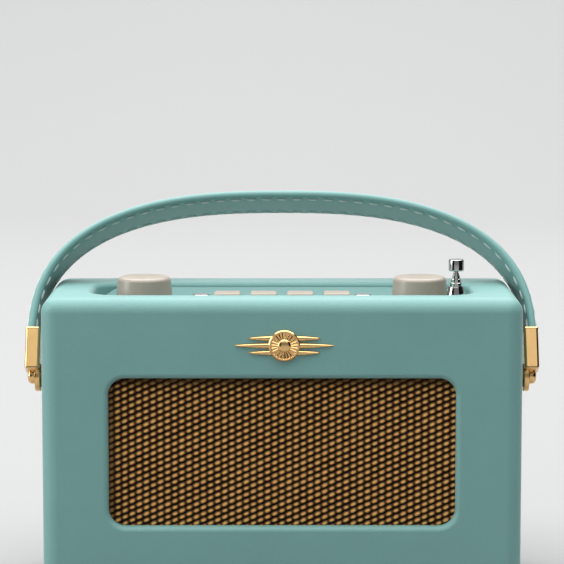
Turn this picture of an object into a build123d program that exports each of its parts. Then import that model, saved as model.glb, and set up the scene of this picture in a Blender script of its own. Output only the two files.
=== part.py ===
from build123d import *
import os
from math import cos, radians, sin

# Leather-covered portable radio: cabinet, top controls, loudspeaker, battery pack,
# telescopic aerial and strap handle. Millimetres, +Z up, grille facing -Y. The origin
# is the middle of the footprint, on the plane that the feet stand on.

# ---------------------------------------------------------------- driving dimensions

# Cabinet and its cover
WIDTH = 252.0
DEPTH = 104.0
HEIGHT = 160.0
FOOT_HEIGHT = 3.0
COVER = 1.2
SIDE_WALL = 9.0
FRONT_WALL = 4.0
TOP_WALL = 7.0
BOTTOM_WALL = 9.0
CORNER_RADIUS = 8.5
TOP_RADIUS = 8.0
BOTTOM_RADIUS = 2.5
MOUTH_RADIUS = 2.8

# Grille opening, as margins from the cabinet's outside
GRILLE_SIDE_MARGIN = 35.0
GRILLE_TOP_MARGIN = 42.0
GRILLE_BOTTOM_MARGIN = 39.5
GRILLE_CORNER = 9.0
CLOTH = 0.8
CLOTH_LAP = 8.0
BAFFLE = 6.0

# Control well in the top
WELL_SIDE_MARGIN = 25.0
WELL_FRONT_MARGIN = 19.0
WELL_REAR_MARGIN = 27.0
WELL_CORNER = 16.0
DECK = 3.0
DECK_LAP_X = 11.0
DECK_LAP_Y = 5.5
DECK_PILLAR_OUT = 10.0
DECK_PILLAR_Y = 15.5
FASCIA_DEPTH = 7.0
FASCIA_LIP = 0.6
FASCIA_RISE = 5.6

# Controls
KNOB_BASE_DIAMETER = 30.5
KNOB_TOP_DIAMETER = 28.5
KNOB_HEIGHT = 13.3
KNOB_RISE = 1.4
KNOB_WALL = 5.5
KNOB_ROOF = 9.5
KNOB_END_MARGIN = 27.0
PUSH_TRAVEL = 1.0
SHAFT_DIAMETER = 6.0
SHAFT_TOP = 11.2
BUSHING_DIAMETER = 7.0
BUSHING_RISE = 3.2
NUT_ACROSS = 10.0
NUT_HEIGHT = 1.6
ENCODER_WIDTH = 12.0
BOARD_DROP = 6.5
BOARD = 1.6
KEY_SIZE = 15.0
KEY_PITCH = 19.6
KEY_RISE = 6.7
KEY_FORWARD = 4.0
KEY_FLANGE = 0.7
BUTTON_DIAMETER = 9.8
BUTTON_RISE = 6.0
BUTTON_X = 43.3
BUTTON_FLANGE = 0.5
CAP_DROP = 5.6
CAP_FLANGE_HEIGHT = 1.5
SWITCH_WIDTH = 6.0
SWITCH_HEIGHT = 2.0
SWITCH_STEM = 0.7
WINDOW_WIDTH = 58.0
WINDOW_DEPTH = 12.0
WINDOW_BACK = 19.0
WINDOW = 2.4
FIT_GAP = 0.25
RUNNING_GAP = 0.05

# Telescopic aerial
AERIAL_X_MARGIN = 33.5
AERIAL_Y_MARGIN = 32.0
FERRULE_DIAMETER = 10.4
FERRULE_TOP_DIAMETER = 7.8
FERRULE_STRAIGHT = 5.7
FERRULE_HEIGHT = 11.2
TUBE_DIAMETERS = (6.2, 5.2, 4.2, 3.2)
TUBE_RISES = (13.2, 15.2, 17.0, 18.4)
TUBE_WALL = 0.4
ROD_DIAMETER = 2.3
CAP_DIAMETER = 8.2
CAP_HEIGHT = 6.3
CAP_FOOT_RISE = 19.4
AERIAL_FLOOR_GAP = 9.0
AERIAL_STEP = 2.0
AERIAL_FOOT_DIAMETER = 8.0
AERIAL_FOOT_HEIGHT = 8.0
GUIDE_WALL = 0.7
GUIDE_GAP = 0.3
GUIDE_HEAD_DIAMETER = 13.0
GUIDE_HEAD_HEIGHT = 12.0

# Loudspeaker, its heights measured back from the baffle's rear face
SPEAKER_MARGIN = 6.75
SPEAKER_RIM = 6.0
SPEAKER_FLANGE = 2.5
SPEAKER_CONE_DEPTH = 18.0
SPEAKER_BACK = 24.0
MAGNET_INSET = 16.0
MAGNET_DEPTH = 16.0
COIL_RADIUS = 12.5
COIL_WALL = 0.8
COIL_GAP = 0.7
SPEAKER_SCREW_INSET = 2.8

# Rear panel, batteries and electronics
PANEL = 3.0
PANEL_RECESS = 3.0
DOOR_WIDTH = 112.0
DOOR_HEIGHT = 27.0
DOOR_GAP = 0.5
DOOR_PIN_RADIUS = 1.5
DOOR_PIN_LENGTH = 3.0
CELL_DIAMETER = 26.2
CELL_LENGTH = 50.0
CELL_TIP = 1.5
CELL_GAP = 0.1
HOLDER_WALL = 1.8
HOLDER_PANEL_GAP = 1.5
CONTACT = 3.2
MAIN_BOARD_WIDTH = 40.0
MAIN_BOARD_HEIGHT = 96.0
MAIN_BOARD_PANEL_GAP = 14.4
MAIN_BOARD_END_GAP = 14.0
MAIN_BOARD_DROP = 6.0
SOCKET_RISES = (30.0, 6.0, -18.0)
SOCKET_WIDTH = 12.0
SOCKET_NOSE_DIAMETER = 7.0
JACK_DIAMETER = 3.6
DC_BORE_DIAMETER = 5.6
DC_PIN_DIAMETER = 2.1
PILLAR_DIAMETER = 6.0

# Feet
FOOT_DIAMETER = 16.0
FOOT_SIDE_MARGIN = 26.0
FOOT_DEPTH_MARGIN = 16.0
SCREW_DIAMETER = 3.0

# Strap handle, measured up the strap from its pivot
HANDLE_LEAN = 26.0
PIVOT_DROP = 48.0
PIVOT_GAP = 4.0
STRAP_WIDTH = 27.0
STRAP = 4.2
STRAP_OUT = 11.3
STRAP_LEG = 15.3
STRAP_ARCH = 87.6
STRAP_POWER = 2.6
STRAP_START = 9.0
STRAP_EDGE = 1.4
CLIP_GAP = 0.3
CLIP_PLATE = 3.0
CLIP_SLEEVE_START = 0.0
CLIP_SLEEVE_END = 23.0
CLIP_WALL = 0.9
CLIP_EYE_RADIUS = 8.5
CLIP_HEAD_GAP = 0.8
RIVET_DIAMETER = 3.0
RIVET_HEIGHT = 17.0
PIVOT_DIAMETER = 5.0
PIVOT_HEAD_DIAMETER = 9.0
PIVOT_HEAD_HEIGHT = 3.9
PIVOT_LENGTH = 8.0
INSERT_DIAMETER = 8.0

# Emblem on the front
EMBLEM_X = 1.2
EMBLEM_TOP_MARGIN = 24.4
EMBLEM_WIDTH = 52.0
EMBLEM_DISC = 16.4
EMBLEM_BAR = 3.0
EMBLEM_BAR_PITCH = 3.8
EMBLEM_RELIEF = 1.3
EMBLEM_PIN = 1.6

# ---------------------------------------------------------------- levels and places

front_y = -DEPTH / 2
rear_y = DEPTH / 2
cavity_half = WIDTH / 2 - COVER - SIDE_WALL
cavity_front = front_y + COVER + FRONT_WALL
cavity_floor = FOOT_HEIGHT + COVER + BOTTOM_WALL
deck_z = HEIGHT - COVER - TOP_WALL
deck_under = deck_z - DECK
board_z = deck_under - BOARD_DROP

grille_width = WIDTH - 2 * GRILLE_SIDE_MARGIN
grille_bottom = GRILLE_BOTTOM_MARGIN
grille_height = HEIGHT - GRILLE_TOP_MARGIN - grille_bottom
grille_z = grille_bottom + grille_height / 2
speaker_radius = grille_height / 2 + SPEAKER_MARGIN
speaker_hole = speaker_radius - SPEAKER_RIM
speaker_screw_radius = speaker_radius - SPEAKER_SCREW_INSET
magnet_radius = speaker_radius - MAGNET_INSET
baffle_front = cavity_front + CLOTH
baffle_rear = baffle_front + BAFFLE

well_width = WIDTH - 2 * WELL_SIDE_MARGIN
well_front = front_y + WELL_FRONT_MARGIN
well_rear = rear_y - WELL_REAR_MARGIN
well_depth = well_rear - well_front
well_y = (well_front + well_rear) / 2
knob_x = well_width / 2 - KNOB_END_MARGIN
knob_z = deck_z + KNOB_RISE
key_y = well_y - KEY_FORWARD
key_xs = [KEY_PITCH * step for step in (-1.5, -0.5, 0.5, 1.5)]
window_y = key_y + WINDOW_BACK
cap_foot = deck_z - CAP_DROP

aerial_x = WIDTH / 2 - AERIAL_X_MARGIN
aerial_y = front_y + AERIAL_Y_MARGIN
aerial_floor = cavity_floor + AERIAL_FLOOR_GAP

panel_rear = rear_y - PANEL_RECESS
panel_front = panel_rear - PANEL
holder_rear = panel_front - HOLDER_PANEL_GAP
holder_half = CELL_LENGTH + CONTACT + HOLDER_WALL
holder_front = holder_rear - 2 * CELL_DIAMETER - HOLDER_WALL - 3 * FIT_GAP
holder_top = cavity_floor + CELL_DIAMETER + 2 * HOLDER_WALL + 2 * FIT_GAP
door_bottom = cavity_floor + 3.4
door_axis_z = door_bottom + 2.0
door_axis_y = (panel_front + panel_rear) / 2
board_rear = panel_front - MAIN_BOARD_PANEL_GAP
main_board_x = cavity_half - MAIN_BOARD_END_GAP - MAIN_BOARD_WIDTH / 2
main_board_z = (holder_top + board_z) / 2 - MAIN_BOARD_DROP
socket_zs = [main_board_z + rise for rise in SOCKET_RISES]

pivot_z = HEIGHT - PIVOT_DROP
strap_half = WIDTH / 2 + STRAP_OUT
lean_cos = cos(radians(HANDLE_LEAN))
lean_sin = sin(radians(HANDLE_LEAN))
clip_inner = WIDTH / 2 + PIVOT_GAP + CLIP_GAP
emblem_z = HEIGHT - EMBLEM_TOP_MARGIN

# The plane that the strap's arch lies in: local x is +X and local y is up the strap.
strap_plane = Plane(origin=(0, 0, pivot_z), x_dir=(1, 0, 0), z_dir=(0, -lean_cos, lean_sin))
facing_front = Plane(origin=(0, 0, 0), x_dir=(1, 0, 0), z_dir=(0, -1, 0))


def clip_plane(x):
    """The plane across the pivot at x: local x is the strap's width, local y is up the strap."""
    return Plane(origin=(x, 0, pivot_z), x_dir=(0, lean_cos, -lean_sin), z_dir=(1, 0, 0))


def side_plane(x):
    """An upright plane across X at x: local x is +Y and local y is +Z."""
    return Plane(origin=(x, 0, 0), x_dir=(0, 1, 0), z_dir=(1, 0, 0))


def front_plane(y):
    """A plane facing -Y at y: local x is +X, local y is +Z, and it extrudes towards -Y."""
    return facing_front.offset(-y)


# ---------------------------------------------------------------- cabinet and cover


def cabinet_form(inset):
    """The solid cabinet shape, with its two pockets, inset from the outside of the cover."""
    with BuildPart() as form:
        with BuildSketch(Plane.XY.offset(FOOT_HEIGHT + inset)):
            RectangleRounded(WIDTH - 2 * inset, DEPTH - 2 * inset, CORNER_RADIUS - inset)
        extrude(amount=HEIGHT - FOOT_HEIGHT - 2 * inset)
        top_rim = form.faces().sort_by(Axis.Z)[-1].outer_wire().edges()
        fillet(top_rim, TOP_RADIUS - inset)
        bottom_rim = form.faces().sort_by(Axis.Z)[0].outer_wire().edges()
        fillet(bottom_rim, BOTTOM_RADIUS - inset)
        with BuildSketch(front_plane(front_y + inset)):
            with Locations((0, grille_z)):
                RectangleRounded(grille_width + 2 * inset, grille_height + 2 * inset, GRILLE_CORNER + inset)
        extrude(amount=-(COVER + FRONT_WALL - inset), mode=Mode.SUBTRACT)
        with BuildSketch(Plane.XY.offset(HEIGHT - inset)):
            with Locations((0, well_y)):
                RectangleRounded(well_width + 2 * inset, well_depth + 2 * inset, WELL_CORNER + inset)
        extrude(amount=-(COVER + TOP_WALL - inset), mode=Mode.SUBTRACT)
        grille_mouth = form.faces().sort_by(Axis.Y)[0].inner_wires()[0].edges()
        well_mouth = form.faces().sort_by(Axis.Z)[-1].inner_wires()[0].edges()
        fillet(grille_mouth + well_mouth, MOUTH_RADIUS - inset)
    return form


outer_form = cabinet_form(0)
core_form = cabinet_form(COVER)

with BuildPart() as cavity:
    with BuildSketch(front_plane(cavity_front)):
        with Locations((0, (cavity_floor + deck_z) / 2)):
            Rectangle(2 * cavity_half, deck_z - cavity_floor)
    extrude(amount=-(rear_y - cavity_front))

foot_places = [
    (side * (WIDTH / 2 - FOOT_SIDE_MARGIN), end * (DEPTH / 2 - FOOT_DEPTH_MARGIN))
    for side in (-1, 1)
    for end in (-1, 1)
]
deck_screw_places = [
    (side * (well_width / 2 + COVER + DECK_LAP_X / 2 - 0.6), well_y + end * (well_depth / 2 - 9))
    for side in (-1, 1)
    for end in (-1, 1)
]

with BuildPart() as cabinet_box:
    add(core_form.part)
    add(cavity.part, mode=Mode.SUBTRACT)
    with Locations((0, 0, pivot_z)):
        Cylinder(INSERT_DIAMETER / 2, WIDTH, rotation=(0, 90, 0), mode=Mode.SUBTRACT)
    with BuildSketch(Plane.XY):
        with Locations(*foot_places):
            Circle(SCREW_DIAMETER / 2)
    extrude(amount=cavity_floor - 1.5, mode=Mode.SUBTRACT)
    with BuildSketch(Plane.XY.offset(deck_z)):
        with Locations(*deck_screw_places):
            Circle(SCREW_DIAMETER / 2)
    extrude(amount=TOP_WALL - 2.0, mode=Mode.SUBTRACT)
    with BuildSketch(front_plane(front_y)):
        with Locations((EMBLEM_X - EMBLEM_WIDTH / 4, emblem_z), (EMBLEM_X + EMBLEM_WIDTH / 4, emblem_z)):
            Circle(EMBLEM_PIN / 2)
    extrude(amount=-(COVER + FRONT_WALL), mode=Mode.SUBTRACT)

with BuildPart() as leather_cover:
    add(outer_form.part)
    add(core_form.part, mode=Mode.SUBTRACT)
    add(cavity.part, mode=Mode.SUBTRACT)
    with Locations((0, 0, pivot_z)):
        Cylinder(INSERT_DIAMETER / 2, WIDTH + 2, rotation=(0, 90, 0), mode=Mode.SUBTRACT)
    with BuildSketch(Plane.XY):
        with Locations(*foot_places):
            Circle(SCREW_DIAMETER / 2)
    extrude(amount=FOOT_HEIGHT + COVER, mode=Mode.SUBTRACT)
    with BuildSketch(front_plane(front_y)):
        with Locations((EMBLEM_X - EMBLEM_WIDTH / 4, emblem_z), (EMBLEM_X + EMBLEM_WIDTH / 4, emblem_z)):
            Circle(EMBLEM_PIN / 2)
    extrude(amount=-COVER, mode=Mode.SUBTRACT)

with BuildPart() as feet:
    with BuildSketch(Plane.XY):
        with Locations(*foot_places):
            Circle(FOOT_DIAMETER / 2)
    extrude(amount=FOOT_HEIGHT, taper=6)
    with BuildSketch(Plane.XY):
        with Locations(*foot_places):
            Circle(SCREW_DIAMETER)
    extrude(amount=FOOT_HEIGHT / 2, mode=Mode.SUBTRACT)
    with BuildSketch(Plane.XY):
        with Locations(*foot_places):
            Circle(SCREW_DIAMETER / 2)
    extrude(amount=FOOT_HEIGHT, mode=Mode.SUBTRACT)

with BuildPart() as foot_screws:
    with BuildSketch(Plane.XY.offset(FOOT_HEIGHT / 2)):
        with Locations(*foot_places):
            Circle(SCREW_DIAMETER / 2)
    extrude(amount=cavity_floor - 2.0 - FOOT_HEIGHT / 2)
    with BuildSketch(Plane.XY.offset(FOOT_HEIGHT / 2)):
        with Locations(*foot_places):
            Circle(SCREW_DIAMETER - 0.2)
    extrude(amount=-1.2)

# ---------------------------------------------------------------- front

with BuildPart() as grille_cloth:
    with BuildSketch(front_plane(cavity_front)):
        with Locations((0, grille_z)):
            Rectangle(grille_width + 2 * CLOTH_LAP, grille_height + 2 * CLOTH_LAP)
    extrude(amount=-CLOTH)

speaker_screw_places = PolarLocations(speaker_screw_radius, 4, start_angle=45)

with BuildPart() as speaker_baffle:
    with BuildSketch(front_plane(baffle_front)):
        with Locations((0, (cavity_floor + deck_z) / 2)):
            Rectangle(2 * (cavity_half - FIT_GAP), deck_z - cavity_floor - 2 * FIT_GAP)
        with Locations((0, grille_z)):
            Circle(speaker_hole, mode=Mode.SUBTRACT)
    extrude(amount=-BAFFLE)
    with BuildSketch(front_plane(baffle_rear).shift_origin((0, baffle_rear, grille_z))):
        with speaker_screw_places:
            Circle(SCREW_DIAMETER / 2)
    extrude(amount=BAFFLE - 1.5, mode=Mode.SUBTRACT)

with BuildPart() as emblem:
    with BuildSketch(front_plane(front_y)):
        with Locations((EMBLEM_X, emblem_z)):
            Circle(EMBLEM_DISC / 2)
            SlotOverall(EMBLEM_WIDTH, EMBLEM_BAR)
        with Locations((EMBLEM_X, emblem_z + EMBLEM_BAR_PITCH), (EMBLEM_X, emblem_z - EMBLEM_BAR_PITCH)):
            SlotOverall(EMBLEM_WIDTH * 0.7, EMBLEM_BAR)
    extrude(amount=EMBLEM_RELIEF)
    with BuildSketch(front_plane(front_y - EMBLEM_RELIEF)):
        with Locations((EMBLEM_X, emblem_z)):
            Circle(EMBLEM_DISC / 2)
            Circle(EMBLEM_DISC / 2 - 1.4, mode=Mode.SUBTRACT)
            Circle(EMBLEM_DISC / 5)
    extrude(amount=EMBLEM_RELIEF / 2)
    with BuildSketch(front_plane(front_y)):
        with Locations((EMBLEM_X - EMBLEM_WIDTH / 4, emblem_z), (EMBLEM_X + EMBLEM_WIDTH / 4, emblem_z)):
            Circle(EMBLEM_PIN / 2)
    extrude(amount=-(COVER + FRONT_WALL - 0.6))

# ---------------------------------------------------------------- loudspeaker

# Half-sections are drawn with local x as the radius and local y pointing back along +Y.
speaker_plane = Plane(origin=(0, baffle_rear, grille_z), x_dir=(1, 0, 0), z_dir=(0, 0, 1))
speaker_axis = Axis((0, baffle_rear, grille_z), (0, 1, 0))
rim_inner = speaker_hole - FIT_GAP
coil_outer = COIL_RADIUS + COIL_WALL

with BuildPart() as speaker_basket:
    with BuildSketch(speaker_plane):
        with BuildLine():
            Polyline(
                (speaker_radius, 0),
                (speaker_radius, SPEAKER_FLANGE),
                (rim_inner, SPEAKER_FLANGE),
                (magnet_radius, SPEAKER_BACK),
                (coil_outer + COIL_GAP, SPEAKER_BACK),
                (coil_outer + COIL_GAP, SPEAKER_BACK - 2),
                (magnet_radius - 3, SPEAKER_BACK - 2),
                (rim_inner - 2, SPEAKER_FLANGE - 1),
                (rim_inner - 2, 0),
                close=True,
            )
        make_face()
    revolve(axis=speaker_axis)
    leg_plane = front_plane(baffle_rear + SPEAKER_BACK - 4)
    with BuildSketch(leg_plane.shift_origin((0, baffle_rear + SPEAKER_BACK - 4, grille_z))):
        with PolarLocations((rim_inner + magnet_radius) / 2, 8):
            Circle(7.0)
    extrude(amount=SPEAKER_BACK - SPEAKER_FLANGE - 4, mode=Mode.SUBTRACT)
    with BuildSketch(front_plane(baffle_rear).shift_origin((0, baffle_rear, grille_z))):
        with speaker_screw_places:
            Circle(SCREW_DIAMETER / 2)
    extrude(amount=-SPEAKER_FLANGE, mode=Mode.SUBTRACT)

with BuildPart() as speaker_magnet:
    with BuildSketch(speaker_plane):
        with BuildLine():
            Polyline(
                (0, SPEAKER_BACK - 1),
                (COIL_RADIUS - COIL_GAP, SPEAKER_BACK - 1),
                (COIL_RADIUS - COIL_GAP, SPEAKER_BACK + MAGNET_DEPTH - 4),
                (coil_outer + COIL_GAP, SPEAKER_BACK + MAGNET_DEPTH - 4),
                (coil_outer + COIL_GAP, SPEAKER_BACK),
                (magnet_radius, SPEAKER_BACK),
                (magnet_radius, SPEAKER_BACK + MAGNET_DEPTH),
                (0, SPEAKER_BACK + MAGNET_DEPTH),
                close=True,
            )
        make_face()
    revolve(axis=speaker_axis)

cone_rim = rim_inner - 6.0

with BuildPart() as speaker_cone:
    with BuildSketch(speaker_plane):
        with BuildLine():
            Polyline(
                (cone_rim, -2.0),
                (cone_rim, -0.8),
                (coil_outer, SPEAKER_CONE_DEPTH),
                (coil_outer, SPEAKER_BACK + MAGNET_DEPTH / 3),
                (COIL_RADIUS, SPEAKER_BACK + MAGNET_DEPTH / 3),
                (COIL_RADIUS, SPEAKER_CONE_DEPTH - 1.6),
                (0, SPEAKER_CONE_DEPTH - 5.0),
                (0, SPEAKER_CONE_DEPTH - 6.2),
                (COIL_RADIUS + 1, SPEAKER_CONE_DEPTH - 2.6),
                close=True,
            )
        make_face()
    revolve(axis=speaker_axis)

with BuildPart() as speaker_surround:
    with BuildSketch(speaker_plane):
        with Locations(((cone_rim + rim_inner - 2.5) / 2, -2.0)):
            Circle((rim_inner - 2.5 - cone_rim) / 2)
            Circle((rim_inner - 2.5 - cone_rim) / 2 - 0.7, mode=Mode.SUBTRACT)
            Rectangle(8, 4, align=(Align.CENTER, Align.MIN), mode=Mode.SUBTRACT)
        with Locations((cone_rim, -2.0)):
            Rectangle(rim_inner - 2.5 - cone_rim, 0.6, align=(Align.MIN, Align.MIN))
    revolve(axis=speaker_axis)

flange_rear = baffle_rear + SPEAKER_FLANGE
flange_plane = front_plane(flange_rear).shift_origin((0, flange_rear, grille_z))

with BuildPart() as speaker_screws:
    with BuildSketch(flange_plane):
        with speaker_screw_places:
            Circle(SCREW_DIAMETER / 2)
    extrude(amount=SPEAKER_FLANGE + BAFFLE - 2.0)
    with BuildSketch(flange_plane):
        with speaker_screw_places:
            Circle(SCREW_DIAMETER - 0.3)
    extrude(amount=-1.6)

# ---------------------------------------------------------------- control deck

encoder_places = [(-knob_x, well_y), (knob_x, well_y)]
button_places = [(-BUTTON_X, key_y), (BUTTON_X, key_y)]
key_places = [(x, key_y) for x in key_xs]
deck_pillar_places = [
    (side * (knob_x + DECK_PILLAR_OUT), well_y + end * DECK_PILLAR_Y)
    for side in (-1, 1)
    for end in (-1, 1)
]
deck_pillar_places = [place for place in deck_pillar_places if place[0] < 0 or place[1] > well_y]

with BuildPart() as fascia:
    with BuildSketch(Plane.XY.offset(deck_z)):
        with Locations((0, well_y)):
            RectangleRounded(
                well_width - 2 * FIT_GAP,
                well_depth - 2 * FIT_GAP,
                WELL_CORNER - FIT_GAP,
            )
    extrude(amount=FASCIA_RISE)
    with BuildSketch(side_plane(0)):
        with BuildLine():
            Polyline(
                (well_rear - FASCIA_DEPTH, deck_z),
                (well_rear, deck_z),
                (well_rear, deck_z + FASCIA_RISE),
                (well_rear - FASCIA_LIP, deck_z + FASCIA_RISE),
                close=True,
            )
        make_face()
    extrude(amount=well_width / 2, both=True, mode=Mode.INTERSECT)

with BuildPart() as control_deck:
    with BuildSketch(Plane.XY.offset(deck_under)):
        with Locations((0, well_y)):
            RectangleRounded(
                well_width + 2 * COVER + 2 * DECK_LAP_X,
                well_depth + 2 * COVER + 2 * DECK_LAP_Y,
                WELL_CORNER,
            )
        with Locations(*encoder_places):
            Circle(BUSHING_DIAMETER / 2 + FIT_GAP / 2, mode=Mode.SUBTRACT)
        with Locations(*key_places):
            RectangleRounded(KEY_SIZE + 2 * FIT_GAP, KEY_SIZE + 2 * FIT_GAP, 1.5, mode=Mode.SUBTRACT)
        with Locations(*button_places):
            Circle(BUTTON_DIAMETER / 2 + FIT_GAP, mode=Mode.SUBTRACT)
        with Locations((0, window_y)):
            Rectangle(WINDOW_WIDTH, WINDOW_DEPTH, mode=Mode.SUBTRACT)
        with Locations((aerial_x, aerial_y)):
            Circle(FERRULE_DIAMETER / 2 - 0.7 + FIT_GAP, mode=Mode.SUBTRACT)
        with Locations(*deck_screw_places):
            Circle(SCREW_DIAMETER / 2, mode=Mode.SUBTRACT)
    extrude(amount=DECK)
    with BuildSketch(Plane.XY.offset(deck_under)):
        with Locations(*deck_pillar_places):
            Circle(PILLAR_DIAMETER / 2)
            Circle(SCREW_DIAMETER / 2, mode=Mode.SUBTRACT)
    extrude(amount=-BOARD_DROP)
    add(fascia.part)

with BuildPart() as deck_screws:
    with BuildSketch(Plane.XY.offset(deck_under)):
        with Locations(*deck_screw_places):
            Circle(SCREW_DIAMETER / 2)
    extrude(amount=DECK + TOP_WALL - 2.5)
    with BuildSketch(Plane.XY.offset(deck_under)):
        with Locations(*deck_screw_places):
            Circle(SCREW_DIAMETER)
    extrude(amount=-1.6)

with BuildPart() as display_window:
    with BuildSketch(Plane.XY.offset(deck_z - WINDOW)):
        with Locations((0, window_y)):
            Rectangle(WINDOW_WIDTH, WINDOW_DEPTH)
    extrude(amount=WINDOW)
    fillet(display_window.faces().sort_by(Axis.Z)[-1].edges(), 0.4)

with BuildPart() as display_module:
    with BuildSketch(Plane.XY.offset(board_z)):
        with Locations((0, window_y)):
            Rectangle(WINDOW_WIDTH - 2, WINDOW_DEPTH + 2)
    extrude(amount=BOARD_DROP - 1.0)
    with BuildSketch(Plane.XY.offset(board_z + BOARD_DROP - 1.0)):
        with Locations((0, window_y)):
            Rectangle(WINDOW_WIDTH - 8, WINDOW_DEPTH - 2)
    extrude(amount=1.2)

board_half = knob_x + 14.0
board_front = well_y - 19.5
board_back = window_y + WINDOW_DEPTH / 2 + 4.0

with BuildPart() as control_board:
    with BuildSketch(Plane.XY.offset(board_z)):
        with Locations((0, (board_front + board_back) / 2)):
            Rectangle(2 * board_half, board_back - board_front)
        with Locations(*deck_pillar_places):
            Circle(SCREW_DIAMETER / 2, mode=Mode.SUBTRACT)
        with Locations((aerial_x, aerial_y)):
            Circle(GUIDE_HEAD_DIAMETER / 2 + 1.0, mode=Mode.SUBTRACT)
    extrude(amount=-BOARD)


def encoder(x, pocket_radius):
    """A rotary encoder on the board, whose bushing stands up through the deck."""
    with BuildPart() as body:
        with BuildSketch(Plane.XY.offset(board_z)):
            with Locations((x, well_y)):
                Rectangle(ENCODER_WIDTH, ENCODER_WIDTH)
        extrude(amount=BOARD_DROP)
        with BuildSketch(Plane.XY.offset(deck_under)):
            with Locations((x, well_y)):
                Circle(BUSHING_DIAMETER / 2)
        extrude(amount=DECK + BUSHING_RISE)
        with BuildSketch(Plane.XY.offset(board_z + 0.5)):
            with Locations((x, well_y)):
                Circle(SHAFT_DIAMETER / 2 + RUNNING_GAP)
        extrude(amount=BOARD_DROP + DECK + BUSHING_RISE, mode=Mode.SUBTRACT)
        with BuildSketch(Plane.XY.offset(board_z + 0.5)):
            with Locations((x, well_y)):
                Circle(pocket_radius)
        extrude(amount=4.0, mode=Mode.SUBTRACT)
    return body


plunger_radius = 4.0
volume_encoder = encoder(-knob_x, SHAFT_DIAMETER / 2 + RUNNING_GAP)
tuning_encoder = encoder(knob_x, plunger_radius + 2 * FIT_GAP)

with BuildPart() as encoder_nuts:
    with BuildSketch(Plane.XY.offset(deck_z)):
        with Locations(*encoder_places):
            RegularPolygon(NUT_ACROSS / 2, 6, major_radius=False)
            Circle(BUSHING_DIAMETER / 2, mode=Mode.SUBTRACT)
    extrude(amount=NUT_HEIGHT)

with BuildPart() as key_switches:
    with BuildSketch(Plane.XY.offset(board_z)):
        with Locations(*key_places, *button_places):
            Rectangle(SWITCH_WIDTH, SWITCH_WIDTH)
    extrude(amount=SWITCH_HEIGHT)
    with BuildSketch(Plane.XY.offset(board_z + SWITCH_HEIGHT)):
        with Locations(*key_places, *button_places):
            Circle(SWITCH_WIDTH / 4)
    extrude(amount=SWITCH_STEM)


def knob(x):
    """A hollow control knob that tapers slightly upwards."""
    with BuildPart() as turned:
        with BuildSketch(Plane(origin=(x, well_y, knob_z), x_dir=(1, 0, 0), z_dir=(0, -1, 0))):
            with BuildLine():
                Polyline(
                    (SHAFT_DIAMETER / 2, KNOB_HEIGHT - KNOB_ROOF),
                    (KNOB_BASE_DIAMETER / 2 - KNOB_WALL, KNOB_HEIGHT - KNOB_ROOF),
                    (KNOB_BASE_DIAMETER / 2 - KNOB_WALL, 0),
                    (KNOB_BASE_DIAMETER / 2, 0),
                    (KNOB_TOP_DIAMETER / 2, KNOB_HEIGHT),
                    (0, KNOB_HEIGHT),
                    (0, SHAFT_TOP - KNOB_RISE),
                    (SHAFT_DIAMETER / 2, SHAFT_TOP - KNOB_RISE),
                    close=True,
                )
            make_face()
        revolve(axis=Axis((x, well_y, knob_z), (0, 0, 1)))
        fillet(turned.faces().sort_by(Axis.Z)[-1].edges(), 2.4)
    return turned


def shaft(x, foot):
    """A knob's shaft, from a height up into the knob."""
    with BuildPart() as turned:
        with BuildSketch(Plane.XY.offset(foot)):
            with Locations((x, well_y)):
                Circle(SHAFT_DIAMETER / 2)
        extrude(amount=deck_z + SHAFT_TOP - foot)
    return turned


volume_knob = knob(-knob_x)
tuning_knob = knob(knob_x)
volume_shaft = shaft(-knob_x, board_z + 1.0)
tuning_shaft = shaft(knob_x, board_z + 3.7)

with BuildPart() as tuning_plunger:
    with BuildSketch(Plane.XY.offset(board_z + 0.5 + PUSH_TRAVEL + 0.2)):
        with Locations((knob_x, well_y)):
            Circle(plunger_radius)
    extrude(amount=2.0)

keys = []
for x, y in key_places:
    with BuildPart() as key:
        with BuildSketch(Plane.XY.offset(cap_foot)):
            with Locations((x, y)):
                RectangleRounded(KEY_SIZE, KEY_SIZE, 1.2)
        extrude(amount=CAP_DROP + KEY_RISE)
        fillet(key.faces().sort_by(Axis.Z)[-1].edges(), 1.0)
        with BuildSketch(Plane.XY.offset(cap_foot)):
            with Locations((x, y)):
                Rectangle(KEY_SIZE + 2 * KEY_FLANGE, KEY_SIZE + 2 * KEY_FLANGE)
        extrude(amount=CAP_FLANGE_HEIGHT)
    keys.append(key)

buttons = []
for x, y in button_places:
    with BuildPart() as button:
        with BuildSketch(Plane.XY.offset(cap_foot)):
            with Locations((x, y)):
                Circle(BUTTON_DIAMETER / 2)
        extrude(amount=CAP_DROP + BUTTON_RISE)
        fillet(button.faces().sort_by(Axis.Z)[-1].edges(), 1.2)
        with BuildSketch(Plane.XY.offset(cap_foot)):
            with Locations((x, y)):
                Circle(BUTTON_DIAMETER / 2 + BUTTON_FLANGE)
        extrude(amount=CAP_FLANGE_HEIGHT)
    buttons.append(button)

# ---------------------------------------------------------------- aerial

ferrule_neck = FERRULE_DIAMETER / 2 - 0.7
ferrule_bore = TUBE_DIAMETERS[0] / 2 + 2 * RUNNING_GAP
guide_bore = AERIAL_FOOT_DIAMETER / 2 + GUIDE_GAP
aerial_section = Plane(origin=(aerial_x, aerial_y, 0), x_dir=(1, 0, 0), z_dir=(0, -1, 0))
aerial_axis = Axis((aerial_x, aerial_y, 0), (0, 0, 1))
guide_head_bottom = deck_under - GUIDE_HEAD_HEIGHT

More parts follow.
